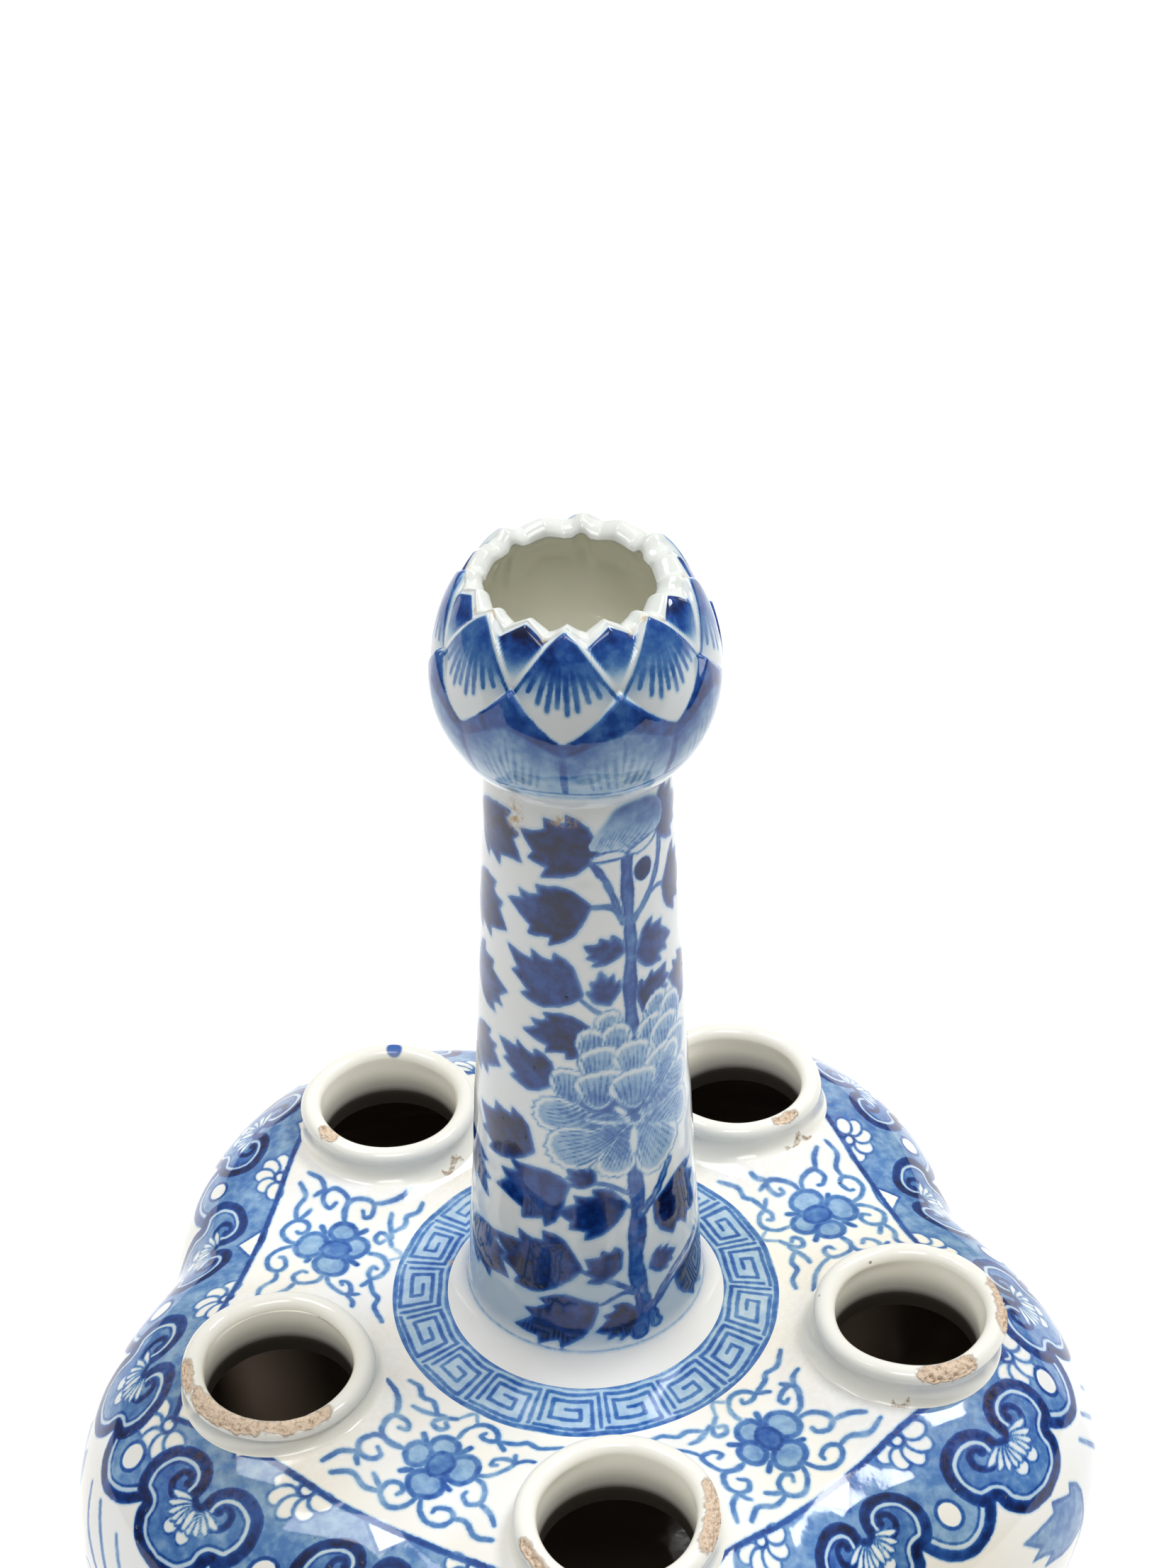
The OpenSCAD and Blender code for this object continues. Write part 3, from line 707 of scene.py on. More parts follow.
def paint_neck(az, z):
    """Tree peony seen from the front, and again on the back; x runs round the neck and y up it."""
    turn = np.radians(az)
    away = angle_from(VIEW_AZ, az)
    x = away * NECK_SCALE + sway((0.3, z / 9), (0.25, z / 4.3 + 5 * turn))
    y = z + sway((0.5, 3 * turn + z / 13), (0.25, 11 * turn))
    back = np.abs(away) > 90
    x = np.where(back, (x + 1.5 * NECK_LAP) % NECK_LAP - 0.5 * NECK_LAP, x)
    y = np.where(back, y + 1.5 * np.sin(x / 9), y)
    work = Painting(x, y)
    for path, width in NECK_STEMS:
        if width < TWIG_END:
            work.stroke(path, width, TWIG_TONE, 0.8)
        else:
            paint_stem(work, path, width)
    for tip, base, width in NECK_LEAVES:
        for lap in (-NECK_LAP, 0, NECK_LAP):
            work.leaf((tip[0] + lap, tip[1]), (base[0] + lap, base[1]), width * LEAF_BROAD, LEAF_TONE)
    paint_bud_flower(work)
    at, gap = work.shape(oval(*PEONY_HEART))
    work.cover(at, gap, 0.62, 0.8)
    for px, py, width in PEONY_TIERS:
        work.petal((px, py - 4.8), (px, py + 3.8), width * 1.06, 0.36, 5, 7)
    for px, py, width in PEONY_SKIRT:
        work.petal(PEONY_ROOT, (px, py), width * 1.1, 0.34, 5, 9, slim=1.0)
    for drop in PEONY_DROPS:
        work.outlined(oval(*drop), *DROP_LOOK)
    work.solid(oval(*PEONY_ROOT, 1.1, 0.9), 0.72)
    work.band(np.ravel(z) - NECK_Z - NECK_RING, 0.4, 0.4)
    return work


# Lotus petals of the bud
BASE_EL = -math.degrees(math.asin(BUD_MID / BUD_R))
LINE_EL, RIM_EL = -27.0, 43.4
EL_MM = math.radians(BUD_R)
PETAL_WIDE = 360.0 / PETALS
TIP_RAYS = (20.5, 16.5, 14.0, 16.0, 13.5, 15.0, 18.5, 20.0)
OUTER_RAYS, OUTER_ROW = 9, (-9.22, 9.22)
BUD_RINGS = ((LINE_EL, 0.56, 0.6), (LINE_EL - 3.2, 0.4, 0.42))
EDGE_SOFT = 1.8


def petal_place(az):
    """Angle from the middle of the nearest upper petal, and its share: 0 there, 1 between two."""
    p = (az - FRONT_AZ - BUD_TURN + PETAL_WIDE / 2 + 720) % PETAL_WIDE - PETAL_WIDE / 2
    return p, np.abs(p) / (PETAL_WIDE / 2)


def low_edge(s):
    """Upper edge of the outer row of petals: a point at s = 1, a notch at s = 0."""
    return 0.3 + 19.5 * s**1.25


def high_edge(s):
    """Edge of the second row of petals: a point at s = 0, down to the outer row's points at s = 1."""
    return 45.5 - 25.5 * s**1.4


def rim_edge(az, s):
    """Mouth of the bud: points of the second row at s = 0, of the inner row at s = 1, a notch between;
    the points at the back are worn low."""
    outer = 45.8 - 5.4 * (s / 0.5) ** 0.8
    inner = 40.4 + 6.4 * np.clip((s - 0.5) / 0.5, 0, 1) ** 0.8
    worn = rise(55, 125, np.abs(angle_from(VIEW_AZ, az)))
    return mix(np.where(s < 0.5, outer, inner), RIM_EL, 0.4 * worn)


def cup_out(az, el):
    """How far the bud stands out past the ball towards its mouth, least in front and most behind."""
    back = np.cos(np.radians(az - VIEW_AZ - 180))
    return (BUD_CUP + 0.5 * back + 0.9 * rise(0.1, 1.0, back)) * rise(8, 50, el)


def bud_relief(az, el):
    """Height of the carved petals over the ball, in three layers with a soft step at each edge."""
    _, s = petal_place(az)
    lower = rise(EDGE_SOFT, -EDGE_SOFT, el - low_edge(s))
    upper = rise(EDGE_SOFT, -EDGE_SOFT, el - high_edge(s))
    outer_row = rise(BASE_EL, 12, el) * (0.15 + 0.75 * s**0.8)
    second_row = 0.25 - 0.85 * s**2 * rise(0, 20, el)
    inner_row = -0.75 + 0.35 * s
    return mix(mix(inner_row, second_row, upper), outer_row, lower)


def paint_bud(az, el):
    """Second row: blue tips that run down in rays; outer row: dark chevrons over pale rays."""
    turn = np.radians(az)
    p, s = petal_place(az + sway((0.7, 3 * turn + 1), (0.5, 7 * turn)))
    el = el + sway((0.8, 5 * turn + 2), (0.5, 2 * turn))
    work = Painting(p * EL_MM * np.cos(np.radians(el)), el * EL_MM)
    s, el, turn = np.ravel(s), np.ravel(el), np.ravel(turn)
    low, high, rim = low_edge(s), high_edge(s), rim_edge(np.degrees(turn), s)
    second_tone = 0.74 * rise(16, 36, el + 4 * s)
    inner_tone = 0.78 * rise(20, 37, el) + 0.14 * rise(36, 41, el)
    under = low - el
    chevron = 0.78 * rise(9 + 11 * s**2, 5 + 7 * s**2, under)
    outer_tone = np.maximum(chevron, mix(0.56, 0.26, rise(6, 32, under)))
    tone = np.where((el > low) & (el < high), second_tone, np.where(el >= high, inner_tone, outer_tone))
    work.wash = tone * rise(-34, -30, el)
    for k, end in enumerate(TIP_RAYS):
        fan = -1 + 2 * (k + 0.5) / len(TIP_RAYS)
        ray = np.array([(fan * 1.6, 39.0), (fan * 4.9, mix(34.0, end, 0.5)), (fan * 6.6, end)])
        work.stroke(ray * [1, EL_MM], 0.95, 0.7, 0.7)
    for k in range(OUTER_RAYS):
        fan = -1 + 2 * (k + 0.5) / OUTER_RAYS
        for side in OUTER_ROW:
            ray = np.array([(fan * 6.8, 11 - 15 * abs(fan)), (fan * 6.0, -11), (fan * 5.2, -24)])
            work.stroke(ray * [1, EL_MM] + [side, 0], 0.7, 0.5, 0.4)
    edge = (high - el) * EL_MM * 0.75
    fold = under * EL_MM * 0.8
    work.lay(work.every, np.where(el > low, np.abs(edge - 1.0) - 0.42, FAR), 0.76)
    work.lay(work.every, np.where(el < low + 2, np.abs(fold - 0.4) - 0.5, FAR), 0.8)
    work.stroke([(0, 0), (0, -13 * EL_MM), (0.1, LINE_EL * EL_MM)], 1.3, 0.72, 0.6)
    for ring_el, width, tone in BUD_RINGS:
        work.band((el - ring_el) * EL_MM, width, tone)
    work.cover(work.every, np.where(el > low + 1, np.abs(edge + 0.1) - 0.6, FAR), 0.0, 0.45)
    work.cover(work.every, (rim - el) * EL_MM - 0.5 + 0.25 * np.sin(9 * turn), 0.0, 0.2)
    return work


# Meshes: the map of a piece is filled by its grid, with its caps in a strip at the top
MAP_TOP = 0.96
CAP_SIZE, CAP_CORNER, CAP_STEP = (0.45, 0.03), (0.02, 0.965), (0.5, 0.0)
STAINED = 0.95


def grid_normals(grid, around):
    """Normals of a grid of points: the cross product of its slopes along columns and rows."""
    if around:
        wide = np.concatenate([grid[:, -1:], grid, grid[:, :1]], 1)
        across = np.gradient(wide, axis=1)[:, 1:-1]
    else:
        across = np.gradient(grid, axis=1)
    n = np.cross(across, np.gradient(grid, axis=0))
    return n / (np.linalg.norm(n, axis=-1, keepdims=True) + 1e-12)


def open_edges(rows, cols, along):
    """Vertex numbers of the two open ends of a grid: its outer columns, or its first and last row."""
    if along:
        return np.arange(rows) * cols, np.arange(rows)[::-1] * cols + cols - 1
    return np.arange(cols)[::-1], (rows - 1) * cols + np.arange(cols)


def piece(name, patches, fields, around=True, along=True, keep=None, normals=None, capped=False):
    """Mesh of patches of rows laid end to end on the same columns. Rows close on themselves where along
    is true, columns where around is true; capped closes what is left open with flat faces."""
    grid = np.concatenate(patches)
    if normals is None:
        normals = np.concatenate([grid_normals(p, around) for p in patches])
    rows, cols = grid.shape[:2]
    i, j = np.indices((rows if along else rows - 1, cols if around else cols - 1))
    row = np.stack([i, i, i + 1, i + 1], -1)
    col = np.stack([j, j + 1, j + 1, j], -1)
    if keep is not None:
        row, col = row[keep], col[keep]
    row, col = row.reshape(-1, 4), col.reshape(-1, 4)
    corners = (row % rows) * cols + col % cols
    points = grid.reshape(-1, 3)
    p = points[corners]
    volume = np.einsum("ij,ij->", p[:, 0], np.cross(p[:, 1], p[:, 2]) + np.cross(p[:, 2], p[:, 3]))
    way = 1 if volume > 0 else -1
    uv = np.stack([col / col.max(), MAP_TOP * row / row.max()], -1)
    loops, places = corners[:, ::way].ravel(), uv[:, ::way].reshape(-1, 2)
    sizes = np.full(len(corners), 4)
    for n, edge in enumerate(open_edges(rows, cols, along) if capped else ()):
        end = points[edge]
        flat = np.stack([np.hypot(end[:, 0], end[:, 1]), end[:, 2]], -1) if along else end[:, :2]
        flat = (flat - flat.min(0)) / (np.ptp(flat, axis=0) + TINY)
        placed = flat * CAP_SIZE + CAP_CORNER + n * np.array(CAP_STEP)
        loops = np.concatenate([loops, edge[::way]])
        places = np.concatenate([places, placed[::way]])
        sizes = np.append(sizes, len(edge))
    used, loops = np.unique(loops, return_inverse=True)
    mesh = bpy.data.meshes.new(name)
    mesh.vertices.add(len(used))
    mesh.vertices.foreach_set("co", (points[used] * MM).astype(np.float32).ravel())
    mesh.loops.add(len(loops))
    mesh.loops.foreach_set("vertex_index", loops.astype(np.int32).ravel())
    mesh.polygons.add(len(sizes))
    mesh.polygons.foreach_set("loop_start", (np.cumsum(sizes) - sizes).astype(np.int32))
    mesh.update(calc_edges=True)
    mesh.uv_layers.new(name="OFBake").uv.foreach_set("vector", places.astype(np.float32).ravel())
    for field, values in fields.items():
        layer = mesh.attributes.new(field, "FLOAT", "POINT")
        layer.data.foreach_set("value", np.ravel(values)[used].astype(np.float32))
    mesh.normals_split_custom_set_from_vertices((normals.reshape(-1, 3)[used] * way).tolist())
    made = bpy.data.objects.new(name, mesh)
    bpy.context.scene.collection.objects.link(made)
    return made


def dress(made, node, material):
    """Gives a piece its finish and its place on the vase."""
    made.data.materials.append(material)
    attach(made, "root")
    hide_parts(node)


def vertices(patches):
    """How many vertices some patches have."""
    return sum(p[..., 0].size for p in patches)


def stained(clean, dirty, share=STAINED):
    """Stain of a hollow piece: none on its clean patches, a share of it on the dirty ones after them."""
    return np.repeat([0.0, share], [vertices(clean), vertices(dirty)])


def fields_of(work, patches, inside, pool=(), rust=(), skip=0):
    """Per-vertex fields of a painted piece: its painting, which starts after some vertices, and then where
    the inside lies, where blue-grey gives pooled glaze and painted shade, where rust has stained it,
    each bare where it isn't given."""
    def spread(values, empty, before=0):
        values = np.ravel(values)
        after = vertices(patches) - before - values.size
        return np.concatenate([np.full(before, empty), values, np.full(after, empty)])
    painted = {"ink": work.ink, "ink_tone": work.ink_tone, "wash": work.wash, "white": work.white}
    marked = {"inside": inside, "pool": pool, "rust": rust}
    fields = {name: spread(values, BARE[name], skip) for name, values in painted.items()}
    fields.update({name: spread(values, 0.0) for name, values in marked.items()})
    return fields


# Materials
NUMBER, VECTOR, COLOUR = "NodeSocketFloat", "NodeSocketVector", "NodeSocketColor"
COBALT = [
    (0.0, (1, 1, 1)), (0.18, (0.66, 0.79, 0.92)), (0.34, (0.335, 0.535, 0.78)),
    (0.52, (0.095, 0.245, 0.57)), (0.70, (0.021, 0.10, 0.42)), (0.86, (0.006, 0.038, 0.21)),
    (1.0, (0.004, 0.009, 0.055))]
BEAD = (0.02, 0.02, 0.03, 1)
PINHOLE = (0.16, 0.09, 0.04, 1)
STAIN = (0.10, 0.064, 0.038, 1)
# Near-black brown down the spout bores: partly real stain, partly painted shade in the deep recess.
STAIN_AND_SHADE_BROWN = (0.022, 0.015, 0.010, 1)
# Painted glow: an emission that lightens the shade at the spout fillets and in the upper bores.
PAINTED_GLOW = (0.20, 0.185, 0.145, 1)
# Blue-grey multiplied in by the pool field: the tint of pooled glaze, and painted shade low on the neck and
# on the bud's lip.
POOL_AND_SHADE_TINT = (0.40, 0.56, 0.71, 1)
RUST = (0.52, 0.33, 0.13, 1)
CREAM = (0.85, 0.84, 0.72, 1)
CRACK = (0.26, 0.15, 0.06, 1)
DRIP = (0.035, 0.12, 0.40, 1)
LIP_DIRT = (0.26, 0.16, 0.09, 1)
DARK_BISCUIT, PALE_BISCUIT = (0.36, 0.23, 0.14, 1), (0.80, 0.63, 0.47, 1)
DARK_FOOT, PALE_FOOT = (0.42, 0.33, 0.24, 1), (0.68, 0.58, 0.46, 1)
BLACK, WHITE = (0, 0, 0, 1), (1, 1, 1, 1)
GLAZE_IOR = 1.52
GLOSS, RIPPLE = 0.07, 0.00012
BEAD_DULL, CHIP_DULL, FOOT_DULL = 0.3, 0.8, 0.75
SPOT_SHARE = 0.16
SHAKE, INK_EDGE = 0.42, 0.17


class Shades:
    """Node tree of a finish or of a shared effect, with the sums and patterns that are used in it."""

    def __init__(self, tree, place):
        self.tree, self.place = tree, place

    def feed(self, target, value):
        """Links an output to an input, or sets the input's own value."""
        if hasattr(value, "is_output"):
            self.tree.links.new(value, target)
        else:
            target.default_value = value

    def node(self, kind, given):
        """New node, with some inputs fed by number or name."""
        made = self.tree.nodes.new(kind)
        for at, value in given.items():
            self.feed(made.inputs[at], value)
        return made

    def calc(self, operation, a, b=0.0):
        """Result of one Math node."""
        made = self.node("ShaderNodeMath", {0: a, 1: b})
        made.operation = operation
        return made.outputs[0]

    def times(self, a, b):
        """Product of two values."""
        return self.calc("MULTIPLY", a, b)

    def plus(self, a, b):
        """Sum of two values."""
        return self.calc("ADD", a, b)

    def less(self, a, b):
        """The first value less the second."""
        return self.calc("SUBTRACT", a, b)

    def most(self, a, b):
        """The larger of two values."""
        return self.calc("MAXIMUM", a, b)

    def ease(self, value, low, high, to_low=0.0, to_high=1.0):
        """Value carried smoothly from one range to another."""
        made = self.node("ShaderNodeMapRange", {0: value, 1: low, 2: high, 3: to_low, 4: to_high})
        made.interpolation_type = "SMOOTHSTEP"
        return made.outputs[0]

    def blend(self, factor, a, b, how="MIX"):
        """Two colours mixed by a factor."""
        made = self.tree.nodes.new("ShaderNodeMix")
        made.data_type, made.blend_type = "RGBA", how
        for at, given in zip((0, 6, 7), (factor, a, b)):
            self.feed(made.inputs[at], given)
        return made.outputs[2]

    def turn_into(self, factor, a, b):
        """Height a, turning into height b as the factor goes to 1."""
        return self.plus(self.times(a, self.less(1.0, factor)), self.times(b, factor))

    def cloud(self, scale, detail=3.0, roughness=0.55):
        """Noise over the surface, its scale in features per metre."""
        given = {"Vector": self.place, "Scale": scale, "Detail": detail, "Roughness": roughness}
        return self.node("ShaderNodeTexNoise", given).outputs["Fac"]

    def spots(self, scale, size):
        """Round spots scattered over the surface, a few in a hundred cells."""
        cells = self.node("ShaderNodeTexVoronoi", {"Vector": self.place, "Scale": scale}).outputs
        red = self.node("ShaderNodeSeparateColor", {0: cells["Color"]}).outputs[0]
        chosen = self.calc("LESS_THAN", red, SPOT_SHARE)
        return self.times(self.ease(cells["Distance"], size, size * 0.5), chosen)

    def ramp(self, value, stops):
        """Colour read off a row of stops, each a place and a colour."""
        made = self.node("ShaderNodeValToRGB", {0: value})
        made.color_ramp.interpolation = "LINEAR"
        while len(made.color_ramp.elements) < len(stops):
            made.color_ramp.elements.new(0.5)
        for element, (at, colour) in zip(made.color_ramp.elements, stops):
            element.position, element.color = at, (*colour, 1)
        return made.outputs[0]

    def field(self, name):
        """A per-vertex field of the piece."""
        made = self.tree.nodes.new("ShaderNodeAttribute")
        made.attribute_name = name
        return made.outputs["Fac"]

    def use(self, group, **given):
        """Places a shader group and feeds its inputs."""
        made = self.tree.nodes.new("ShaderNodeGroup")
        made.node_tree = group
        for label, value in given.items():
            self.feed(made.inputs[label.replace("_", " ")], value)
        return made.outputs


class Finish(Shades):
    """Material of a piece: its node tree over Object coordinates, and the inputs of its shader."""

    def __init__(self, name):
        self.material = bpy.data.materials.new(name)
        self.material.use_nodes = True
        tree = self.material.node_tree
        super().__init__(tree, tree.nodes.new("ShaderNodeTexCoord").outputs["Object"])
        self.shader = tree.nodes["Principled BSDF"].inputs

    def show(self, **given):
        """Feeds the shader."""
        for label, value in given.items():
            self.feed(self.shader[label.replace("_", " ")], value)

    def glazed(self, height, **given):
        """Feeds the shader of a glazed piece, with a height for its normal, and gives the material."""
        bump = self.node("ShaderNodeBump", {"Distance": RIPPLE, "Height": height})
        self.show(IOR=GLAZE_IOR, Normal=bump.outputs[0], **given)
        return self.material


def effect(name, inputs, outputs):
    """New shader group with named sockets: its shades, its inputs and its outputs."""
    tree = bpy.data.node_groups.new(name, "ShaderNodeTree")
    for way, sockets in (("INPUT", inputs), ("OUTPUT", outputs)):
        for label, kind in sockets.items():
            tree.interface.new_socket(label, in_out=way, socket_type=kind)
    have, give = tree.nodes.new("NodeGroupInput").outputs, tree.nodes.new("NodeGroupOutput").inputs
    return Shades(tree, have["Place"]), have, give


def make_cobalt():
    """Blue under the glaze: tone from ink, wash and reserved white, with shaky edges, streaks and
    iron-dark beads where the blue is thick; the tint multiplies the colour of the glaze."""
    blue, have, give = effect(
        "cobalt_brushwork",
        {"Ink": NUMBER, "Ink Tone": NUMBER, "Wash": NUMBER, "White": NUMBER, "Place": VECTOR},
        {"Tint": COLOUR, "Beads": NUMBER})
    shake = blue.times(blue.less(blue.cloud(900), 0.5), SHAKE)
    streak, pool = blue.cloud(420, 4), blue.cloud(95)
    edge = blue.plus(have["Ink"], shake)
    ink = blue.ease(edge, INK_EDGE, -INK_EDGE)
    fuzz = blue.times(blue.ease(edge, 0.6, -0.1, 0.0, 0.34), have["Ink Tone"])
    heart = blue.ease(edge, 0.1, -0.7, 0.86, 1.0)
    loaded = blue.plus(blue.ease(streak, 0.3, 0.7, -0.1, 0.06), blue.ease(pool, 0.3, 0.7, -0.1, 0.07))
    ink_tone = blue.times(blue.plus(have["Ink Tone"], loaded), heart)
    thin = blue.times(blue.ease(streak, 0.25, 0.75, 0.8, 1.14), blue.ease(pool, 0.3, 0.7, 0.86, 1.12))
    bare = blue.ease(blue.plus(have["White"], blue.times(shake, 0.6)), 0.1, -0.1, 0.0, 0.93)
    wash = blue.times(blue.most(blue.times(have["Wash"], thin), fuzz), blue.less(1.0, bare))
    inked = blue.times(blue.most(ink_tone, wash), ink)
    tone = blue.plus(inked, blue.times(wash, blue.less(1.0, ink)))
    beads = blue.times(blue.spots(520, 0.2), blue.ease(tone, 0.78, 0.9))
    blue.feed(give["Tint"], blue.blend(blue.times(beads, 0.8), blue.ramp(tone, COBALT), BEAD))
    blue.feed(give["Beads"], beads)
    return blue.tree


def make_glaze():
    """Fired glaze: slow cloudiness, brown pinholes and a fine ripple."""
    clear, have, give = effect(
        "fired_glaze", {"Glaze": COLOUR, "Cloudy": COLOUR, "Place": VECTOR},
        {"Glaze": COLOUR, "Ripple": NUMBER, "Pinholes": NUMBER})
    drift = clear.ease(clear.cloud(28), 0.35, 0.7)
    pinholes = clear.spots(95, 0.055)
    tinted = clear.blend(drift, have["Glaze"], have["Cloudy"])
    ripple = clear.plus(clear.cloud(85, 2), clear.times(clear.cloud(420, 2), 0.12))
    clear.feed(give["Glaze"], clear.blend(pinholes, tinted, PINHOLE))
    clear.feed(give["Ripple"], clear.less(ripple, pinholes))
    clear.feed(give["Pinholes"], pinholes)
    return clear.tree


COBALT_GROUP = make_cobalt()
GLAZE_GROUP = make_glaze()


def painted_glaze(name, glaze, cloudy, lining):
    """Clear glaze over cobalt painting, blue-grey where it pools and where shade is painted, rusty in places
    and lined inside.
    """
    look = Finish(name)
    blue = look.use(COBALT_GROUP, Ink=look.field("ink"), Ink_Tone=look.field("ink_tone"),
                    Wash=look.field("wash"), White=look.field("white"), Place=look.place)
    clear = look.use(GLAZE_GROUP, Glaze=glaze, Cloudy=cloudy, Place=look.place)
    painted = look.blend(1.0, clear["Glaze"], blue["Tint"], "MULTIPLY")
    pooled_and_shaded = look.blend(look.field("pool"), painted, POOL_AND_SHADE_TINT, "MULTIPLY")
    ragged = look.ease(look.cloud(800, 4, 0.7), 0.4, 0.6)
    rusty = look.blend(look.times(look.field("rust"), ragged), pooled_and_shaded, RUST)
    lined = look.times(look.field("inside"), look.less(1.0, clear["Pinholes"]))
    height = look.plus(clear["Ripple"], look.times(blue["Beads"], 0.6))
    return look.glazed(height, Base_Color=look.blend(lined, rusty, lining),
                       Roughness=look.ease(blue["Beads"], 0, 1, GLOSS, BEAD_DULL))


def lip_glaze(name, glaze, cloudy):
    """Clear glaze of the spouts, chipped to bare biscuit at the lip; the bore darkens to near-black brown,
    partly real stain and partly painted shade, and a painted glow lightens the fillet's shade and the upper
    bore."""
    look = Finish(name)
    clear = look.use(GLAZE_GROUP, Glaze=glaze, Cloudy=cloudy, Place=look.place)
    grain = look.cloud(1500, 4, 0.65)
    ragged = look.plus(look.field("chip"), look.times(look.less(look.cloud(700, 4), 0.5), 1.5))
    broken = look.ease(ragged, 0.1, -0.1)
    dirty = look.ease(look.calc("ABSOLUTE", ragged), 0.5, 0.05)
    biscuit = look.blend(look.ease(grain, 0.25, 0.55), DARK_BISCUIT, PALE_BISCUIT)
    smudge = look.ease(look.plus(look.field("crack"), look.less(grain, 0.5)), 0.25, -0.2)
    cracked = look.blend(smudge, clear["Glaze"], CRACK)
    dripped = look.blend(look.ease(look.field("drip"), 0.3, -0.4), cracked, DRIP)
    # Painted shade and stain: the bore darkens to near-black brown with depth.
    shaded_and_stained = look.blend(look.field("inside"), dripped, STAIN_AND_SHADE_BROWN)
    lipped = look.blend(look.times(dirty, 0.5), shaded_and_stained, LIP_DIRT)
    dull = look.most(broken, look.times(look.field("inside"), 0.5))
    height = look.turn_into(broken, clear["Ripple"], look.times(grain, 4.0))
    return look.glazed(height, Base_Color=look.blend(broken, lipped, biscuit),
                       Roughness=look.ease(dull, 0, 1, GLOSS, CHIP_DULL), Emission_Strength=1.0,
                       Emission_Color=look.blend(look.field("thin"), BLACK, PAINTED_GLOW))


def foot_glaze(name, glaze, cloudy):
    """Glaze of the foot, wiped off to bare biscuit where the ring stands."""
    look = Finish(name)
    clear = look.use(GLAZE_GROUP, Glaze=glaze, Cloudy=cloudy, Place=look.place)
    grain = look.cloud(900, 4, 0.65)
    bare = look.field("bare")
    biscuit = look.blend(grain, DARK_FOOT, PALE_FOOT)
    height = look.turn_into(bare, clear["Ripple"], look.times(grain, 2.0))
    return look.glazed(height, Base_Color=look.blend(bare, clear["Glaze"], biscuit),
                       Roughness=look.ease(bare, 0, 1, GLOSS, FOOT_DULL))


BODY_GLAZE = painted_glaze("body_painted_glaze", (0.87, 0.875, 0.855, 1), (0.87, 0.82, 0.70, 1), STAIN)
NECK_GLAZE = painted_glaze("neck_painted_glaze", (0.92, 0.92, 0.895, 1), (0.91, 0.89, 0.83, 1), STAIN)
BUD_GLAZE = painted_glaze("bud_painted_glaze", (0.81, 0.825, 0.80, 1), (0.80, 0.80, 0.76, 1), CREAM)
SPOUT_GLAZE = lip_glaze("spout_white_glaze", (0.88, 0.87, 0.80, 1), (0.86, 0.84, 0.75, 1))
FOOT_GLAZE = foot_glaze("foot_ring_glaze", (0.79, 0.80, 0.77, 1), (0.74, 0.76, 0.74, 1))


# Body
LOBE_COLS, LOBE_ROWS, LOBE_INSIDE = 300, 270, 38
BOWL_COLS, BOWL_ROWS, BOWL_INSIDE, BOWL_STEPS = 860, 92, 10, 2000
FRET_COLS, FRET_ROWS, FRET_END_R, NECK_HOLE_R = 1080, 62, 24.0, 10.4
FOOT_COLS = 480
FINE_STEPS, FINE_POWER = 6000, 9
CREAM_STAIN, CREAM_REACH = (0.03, 0.09, 0.12, 0.08, 0.08), (34, 20)
SPECK_R, SPECK_AZ, SPECK_SIZE = 26.3, 161.0, (1.3, 2.0)
BASE_RADII, FLOOR_RADII = (1.0, 30.0, 54.0), (25.0, 1.0)
BOWL_LINES = ((2.2, 1.3, 0.62), (5.0, 0.8, 0.62))


def shoulder_rows():
    """Rows of the shoulder and their way from the painted ring, from steps that crowd at that ring."""
    return even_steps(shoulder_at, 90 * np.linspace(0, 1, FINE_STEPS) ** FINE_POWER, LOBE_ROWS)


def across_lobe(phi, turn, v):
    """Place of the painting across a lobe, with the sway of the hand."""
    return phi * DEG + sway((0.35, 7 * turn + v / 8), (0.3, 17 * turn + 1))


def paint_lobe(k, x, y, phi, v):
    """Spray, collar and corner flowers of one lobe; its border is straight on either side of the spout."""
    middle = FRONT_AZ + LOBE_STEP * k
    turn = np.radians(phi + middle)
    out_to = BORDER_R + mix(BORDER_OUT[k], BORDER_OUT[(k + 1) % LOBES], rise(-8, 8, phi))
    border = np.hypot(x, y) * np.cos(np.radians(HALF - np.abs(phi))) - out_to
    lean = sway((0.4, 4 * turn + 2), (0.3, 13 * turn + v / 11))
    work = Painting(across_lobe(phi, turn, v), v + lean)

    def border_v(at):
        return np.interp(0, border[:, np.abs(phi - at).argmin()], v[:, 0])

    paint_spray(work)
    paint_collar(work, np.ravel(border + 0.25 * np.sin(9 * turn + 1)), border_v)
    for crease in (-HALF, HALF):
        way = math.radians(middle + crease)
        out = x * math.cos(way) + y * math.sin(way) - FLOWER_R
        side = y * math.cos(way) - x * math.sin(way)
        at = np.flatnonzero((np.abs(side) < FLOWER_WIDE) & (np.abs(out) < FLOWER_DEEP))
        side, out = np.ravel(side)[at], np.ravel(out)[at]
        shake_side, shake_out = 0.3 * np.sin(out / 5 + crease / 9 + k), 0.3 * np.sin(side / 4 + k)
        work.add(paint_flower(side + shake_side, out + shake_out), at)
    return work


